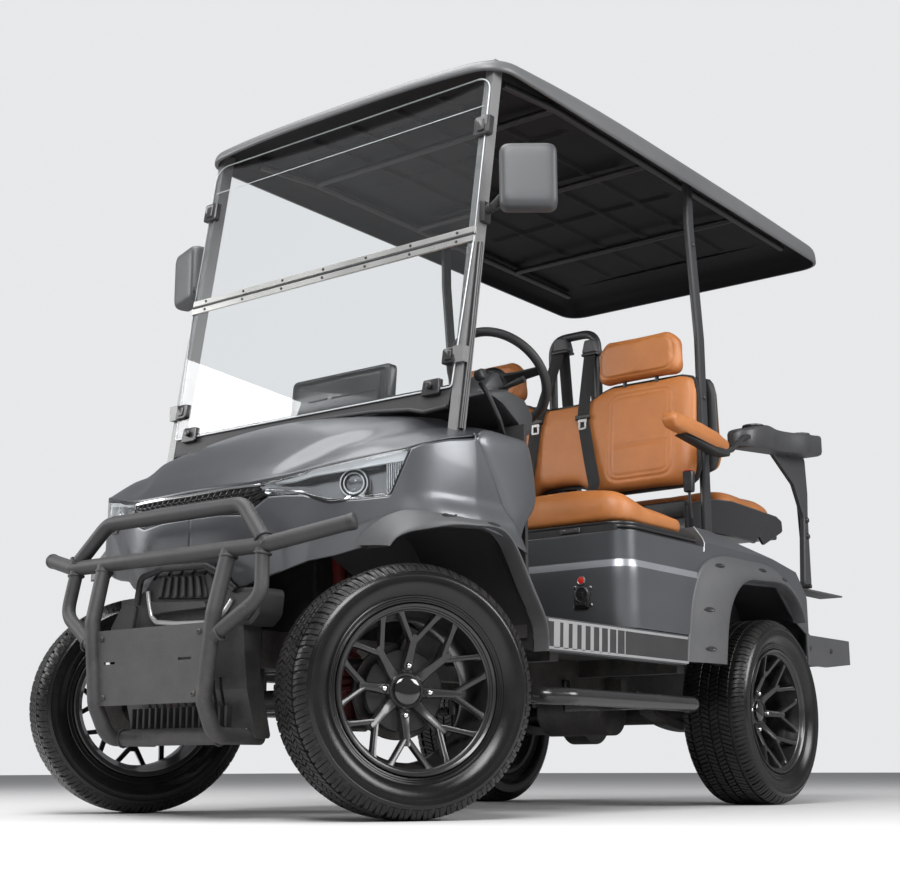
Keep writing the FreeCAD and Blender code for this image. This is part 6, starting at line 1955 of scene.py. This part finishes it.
def buildTray(side):
    shape, rows, inner = Shape(), [], tray["inner"]
    topLine, lowLine, outLine = Spline(tray["top"]), Spline(tray["low"]), Spline(tray["out"])
    for i in range(61):
        y = mix(tray["frontY"], tray["rearY"], i / 60)
        low, high, out = lowLine(y), topLine(y), outLine(y)
        end = 10 * max(0, abs(i / 60 - 0.5) - 0.48) / 0.02
        points = [(inner, low + end), (out - 14, low + end), (out - 4, low + 4 + end), (out, low + 14 + end),
                  (out, high - 12 - end), (out - 3, high - 4 - end), (out - 11, high - end),
                  (out - 16, high - 3 - end), (inner + 12, high - 3 - end), (inner + 8, high - end),
                  (inner, high - 2 - end)]
        rows.append([at(side * x, y, z) for x, z in points])
    shape.loft(rows[::-side])
    for y, z in tray["cups"]:
        stud(shape, [(38, 3), (37, 8), (34, 8), (33, 2), (32, -50), (0.1, -50)], (side * 521, y, z), (0, 0, 1), 32)
    x0, x1 = span(side, 477.5, 497)
    slab(shape, [(2262, 748), (2290, 1010), (2220, 1120), (2060, 1206), (2010, 1214), (2140, 1220), (2320, 1240),
                 (2330, 1100), (2322, 1017), (2322, 748)], "x", x0, x1, 24, 4)
    return shape


for side, sideName in sides:
    buildTray(side).piece(f"armTray{sideName}", "armMould", stands=("rear_armrests",), slot="arm_plastic", smooth=40)
    shape = Shape()
    for z in (1000, 940):
        stud(shape, [(11, -2), (11, 3), (8, 7), (5, 8), (0.1, 8)], (side * 497, 2306, z), (side, 0, 0), 16)
    tube(shape, [(side * 470, 2305, 1090), (side * 470, 2318, 940), (side * 470, 2300, 760)], 9, 60, 14)
    shape.piece(f"armTrayBolts{sideName}", "satinBlack", smooth=45)
print("seats ready")


# Seat base skin: lower part stepped out under a chamfered crease band, rounded front corners; the band's faces get a
# lighter paint as a painted highlight of its reflections
rearBody = {
    "frontY": 840, "corner": 60, "bandTop": 694, "bandLow": 672, "step": 7,
    "flareEdge": [(497, 1186), (560, 1202), (607, 1216), (660, 1252), (694, 1284), (777, 1330)],
}


stripe = {"bars": 9, "frontY": 446, "pitch": 44, "widest": 28, "thinnest": 4}
step = {"strips": 9, "frontY": 2392, "pitch": 38, "halfWidth": 420}


def buildBase(side):
    shape = Shape()
    levels = [(rearBody["bandTop"] + 2, 0.4), (rearBody["bandTop"], 1.2), (rearBody["bandLow"] + 2, 6.4),
              (rearBody["bandLow"] - 2, 7.2), (640, 7.2), (560, 7.2), (506, 7.2), (500, 6), (498, 0.4)]
    rows, front, corner = [], rearBody["frontY"], rearBody["corner"]
    for z, out in levels:
        row = [at(side * x, front - out, z) for x in (1, 60, 150, 300, 450, 520, 534)]
        for k in range(1, 12):
            a = math.radians(90 * k / 12)
            row.append(at(side * (600 - corner + (corner + out) * math.sin(a)),
                          front + corner - (corner + out) * math.cos(a), z))
        last = alongLine(rearBody["flareEdge"], z)
        row += [at(side * (600 + out), mix(front + corner, last, k / 8), z) for k in range(9)]
        rows.append(row)
    shape.grid(rows[::-side])
    return shape


for side, sideName in sides:
    # low and high x of the stripe's band and lines, which stand proud of the rocker
    bandX, lineX = span(side, 606, 608.8), span(side, 607, 609.6)
    skin = buildBase(side).piece(f"baseSkin{sideName}", ("bodyPaint", "bandHighlightPaint"), smooth=32)
    # faces inside the crease band take the lighter paint, a painted highlight
    for polygon in skin.data.polygons:
        z = polygon.center.z * 1000
        polygon.material_index = int(rearBody["bandLow"] + 1 < z < rearBody["bandTop"])
    shape = Shape()
    slab(shape, [(432, 415), (1156, 415), (1164, 491), (422, 491)], "x", *bandX, 3, 0.5)
    shape.piece(f"stripeBand{sideName}", "stripeDark", smooth=30)
    shape = Shape()
    for low, high in ((414, 421), (485, 492)):
        slab(shape, box(424, 1162, low, high), "x", *lineX, 1, 0.4)
    for k in range(stripe["bars"]):
        y, wide = stripe["frontY"] + stripe["pitch"] * k, mix(stripe["widest"], stripe["thinnest"],
                                                              k / (stripe["bars"] - 1))
        slab(shape, [(y, 418), (y + wide, 418), (y + wide + 4, 486), (y + 4, 486)], "x", *lineX, 0.5, 0.4)
    shape.piece(f"stripeLines{sideName}", "stripeSilver", smooth=30)
shape = Shape()
face = rearBody["frontY"] - rearBody["step"]
stud(shape, [(27, 0), (27, 5), (24, 9), (20, 10), (18, 8), (0.1, 8)], (455, face, 598), (0, -1, 0), 32)
slab(shape, box(430, 478, 560, 590), "y", face - 9, face, 6, 2)
slab(shape, box(436, 472, 566, 576), "y", face - 13, face - 8, 4, 1.5)
slab(shape, box(448, 462, 590, 606), "y", face - 12, face - 8, 3, 1)
shape.piece("chargeSocket", "satinBlack", smooth=40)
shape = Shape()
for x, z in ((430, 622), (482, 618), (484, 568), (428, 566)):
    stud(shape, [(5, 0), (5, 2), (3.4, 3.6), (0.1, 3.8)], (x, face, z), (0, -1, 0), 14)
stud(shape, [(13.5, 0), (13.5, 3), (11.5, 5), (10.4, 4.4), (10.2, 2)], (452, face, 640), (0, -1, 0), 28)
shape.piece("socketScrews", "bareSteel", smooth=45)
shape = Shape()
stud(shape, [(10.2, 2), (10, 4.6), (7, 6), (0.1, 6.2)], (452, face, 640), (0, -1, 0), 24)
shape.piece("chargeButton", "buttonRed", smooth=45)


# Deck seams between the seat base and the shoulder over the wheel
shape = Shape()
for side in (-1, 1):
    sweep(shape, [at(side * x, y, z) for x, y, z in ((601, 1300, 762), (600.5, 1306, 790), (592, 1312, 806),
                                                     (561, 1316, 846))], ringSection(0.0016, 8))
shape.piece("deckSeams", "stripeSilver", smooth=50)


# Step: tread strips on the footplate and the bolts of its boxes
shape = Shape()
for k in range(step["strips"]):
    y = step["frontY"] + k * step["pitch"]
    slab(shape, box(y, y + 20, 588.5, 592), "x", -step["halfWidth"], step["halfWidth"], 1.5, 1)
shape.piece("stepTread", "matRubber", smooth=40)
shape = Shape()
for s in (-1, 1):
    for y in (2372, 2560):
        stud(shape, [(9, 0), (9, 3), (6, 5), (0.1, 5.2)], (s * 452, y, 540), (s, 0, 0), 16)
    tube(shape, [(s * 470, 2262, 752), (s * 520, 2262, 752)], 8, 0, 14)
shape.piece("stepBolts", "frameBlack", smooth=45)


# Side step tubes with their brackets
def buildSideStep(s):
    shape = Shape()
    path = [(s * 532, 455, 306), (s * 582, 440, 296), (s * 622, 500, 296), (s * 622, 1150, 296), (s * 582, 1210, 296),
            (s * 532, 1195, 306)]
    tube(shape, path, 22, 50, 24)
    for y in (560, 1080):
        slab(shape, box(y, y + 30, 284, 308), "x", *span(s, 216, 606), 3, 2)
        slab(shape, box(y, y + 30, 284, 379), "x", *span(s, 215.3, 227), 3, 2)
    return shape


for side, sideName in sides:
    buildSideStep(side).piece(f"sideStepTube{sideName}", "stepBlack", stands=("side_steps",), slot="frame_steel",
                              smooth=50)


# Ribs on the tail lamps
tail = Shape()
for s in (-1, 1):
    x0, x1 = span(s, 385, 555)
    for k in range(4):
        z = 566 + k * 14
        slab(tail, box(x0 + 4, x1 - 4, z, z + 6), "y", 2106, 2110, 1.5, 1)
tail.piece("tailRibs", "tailRed", smooth=40)
print("rear body ready")


# Finishes of the CAD nodes that keep their own shape
kept = {
    "armSteel": ("knuckle_left", "knuckle_right", "tie_rods", "front_suspension_arms", "rear_axle", "pedals"),
    "frameBlack": ("frame_rails", "frame_cross_members", "rear_springs"), "springRed": ("front_dampers",),
    "matRubber": ("floor_pan",), "caseGrey": ("battery_pack",), "bodyPaint": ("rocker_panels", "rear_body"),
    "valanceGrey": ("front_valance",), "plateGrey": ("guard_plate",), "pillarGrey": ("windscreen_pillars",),
    "blackMould": ("front_seat_tray",), "flareGrey": ("rear_step",), "tailRed": ("tail_lamps",),
}
for finish, nodeNames in kept.items():
    for nodeName in nodeNames:
        dress(nodeName, finish)
print("kept nodes finished")


# Floor, backdrop, light and camera
studio = {
    "floor": (0.62, 0.62, 0.62), "backdrop": (0.80, 0.81, 0.82), "fill": (0.62, 0.63, 0.65), "fillStrength": 0.42,
    "lens": 59.59, "camera": (2.7445, -3.9478, 0.1142), "cameraTurn": (102.6, 0.2, 37.5),
    "lamps": {
        "keyBox": ((2.6, -4.6, 4.6), (0, -0.4, 0.9), (3.2, 2.2), 330),
        "sideBox": ((5.2, 0.9, 3.0), (0, 0.2, 0.8), (3.0, 2.0), 210),
        "overBox": ((-0.6, -1.6, 5.2), (0, 0.0, 1.0), (4.0, 3.0), 230),
        "farBox": ((-4.6, -3.4, 2.6), (0, -0.6, 0.8), (2.4, 2.2), 130),
    },
}


def plainMaterial(name, colour, rough):
    material, tree, shader = newMaterial(name)
    shader.inputs["Roughness"].default_value = rough
    tone = ramp(tree, noiseNode(tree, 2.0, 3), 0.3, 0.7)
    tree.links.new(blendColour(tree, tone, tuple(c * 0.97 for c in colour), colour), shader.inputs["Base Color"])
    return material


def addFloor():
    bpy.ops.mesh.primitive_plane_add(size=60)
    floor = bpy.context.active_object
    floor.name = "studioFloor"
    floor.data.materials.append(plainMaterial("floorPale", studio["floor"], 0.55))


def addLamp(name, place, target, size, power):
    light = bpy.data.lights.new(name, "AREA")
    light.shape, light.size, light.size_y = "RECTANGLE", size[0], size[1]
    light.energy = power
    lamp = placeObject(name, light)
    lamp.location = place
    lamp.rotation_euler = (Vector(target) - Vector(place)).to_track_quat("-Z", "Y").to_euler()


def addWorld():
    world = bpy.data.worlds.new("studioWorld")
    bpy.context.scene.world = world
    world.use_nodes = True
    tree = world.node_tree
    tree.nodes.clear()
    result = tree.nodes.new("ShaderNodeOutputWorld")
    seen, fill = tree.nodes.new("ShaderNodeBackground"), tree.nodes.new("ShaderNodeBackground")
    seen.inputs["Color"].default_value = (*studio["backdrop"], 1)
    fill.inputs["Color"].default_value = (*studio["fill"], 1)
    fill.inputs["Strength"].default_value = studio["fillStrength"]
    either = tree.nodes.new("ShaderNodeMixShader")
    path = tree.nodes.new("ShaderNodeLightPath")
    # the backdrop also shows where the view goes straight through glass
    direct, through, seeing = (tree.nodes.new("ShaderNodeMath") for i in range(3))
    direct.operation, through.operation, seeing.operation = "LESS_THAN", "MULTIPLY", "MAXIMUM"
    direct.inputs[1].default_value = 0.5
    tree.links.new(path.outputs["Diffuse Depth"], direct.inputs[0])
    tree.links.new(path.outputs["Is Transmission Ray"], through.inputs[0])
    tree.links.new(direct.outputs[0], through.inputs[1])
    tree.links.new(path.outputs["Is Camera Ray"], seeing.inputs[0])
    tree.links.new(through.outputs[0], seeing.inputs[1])
    tree.links.new(seeing.outputs[0], either.inputs[0])
    tree.links.new(fill.outputs[0], either.inputs[1])
    tree.links.new(seen.outputs[0], either.inputs[2])
    tree.links.new(either.outputs[0], result.inputs["Surface"])


def addCamera():
    # close to the floor, looking up and across the front left corner
    data = bpy.data.cameras.new("photoCamera")
    data.sensor_width, data.lens, data.clip_end = 36, studio["lens"], 100
    camera = placeObject("photoCamera", data)
    camera.location = studio["camera"]
    camera.rotation_euler = [math.radians(a) for a in studio["cameraTurn"]]
    bpy.context.scene.camera = camera


addFloor()
addWorld()
for name, values in studio["lamps"].items():
    addLamp(name, *values)
addCamera()
bpy.context.scene.view_settings.view_transform = "Standard"
print("stage ready")
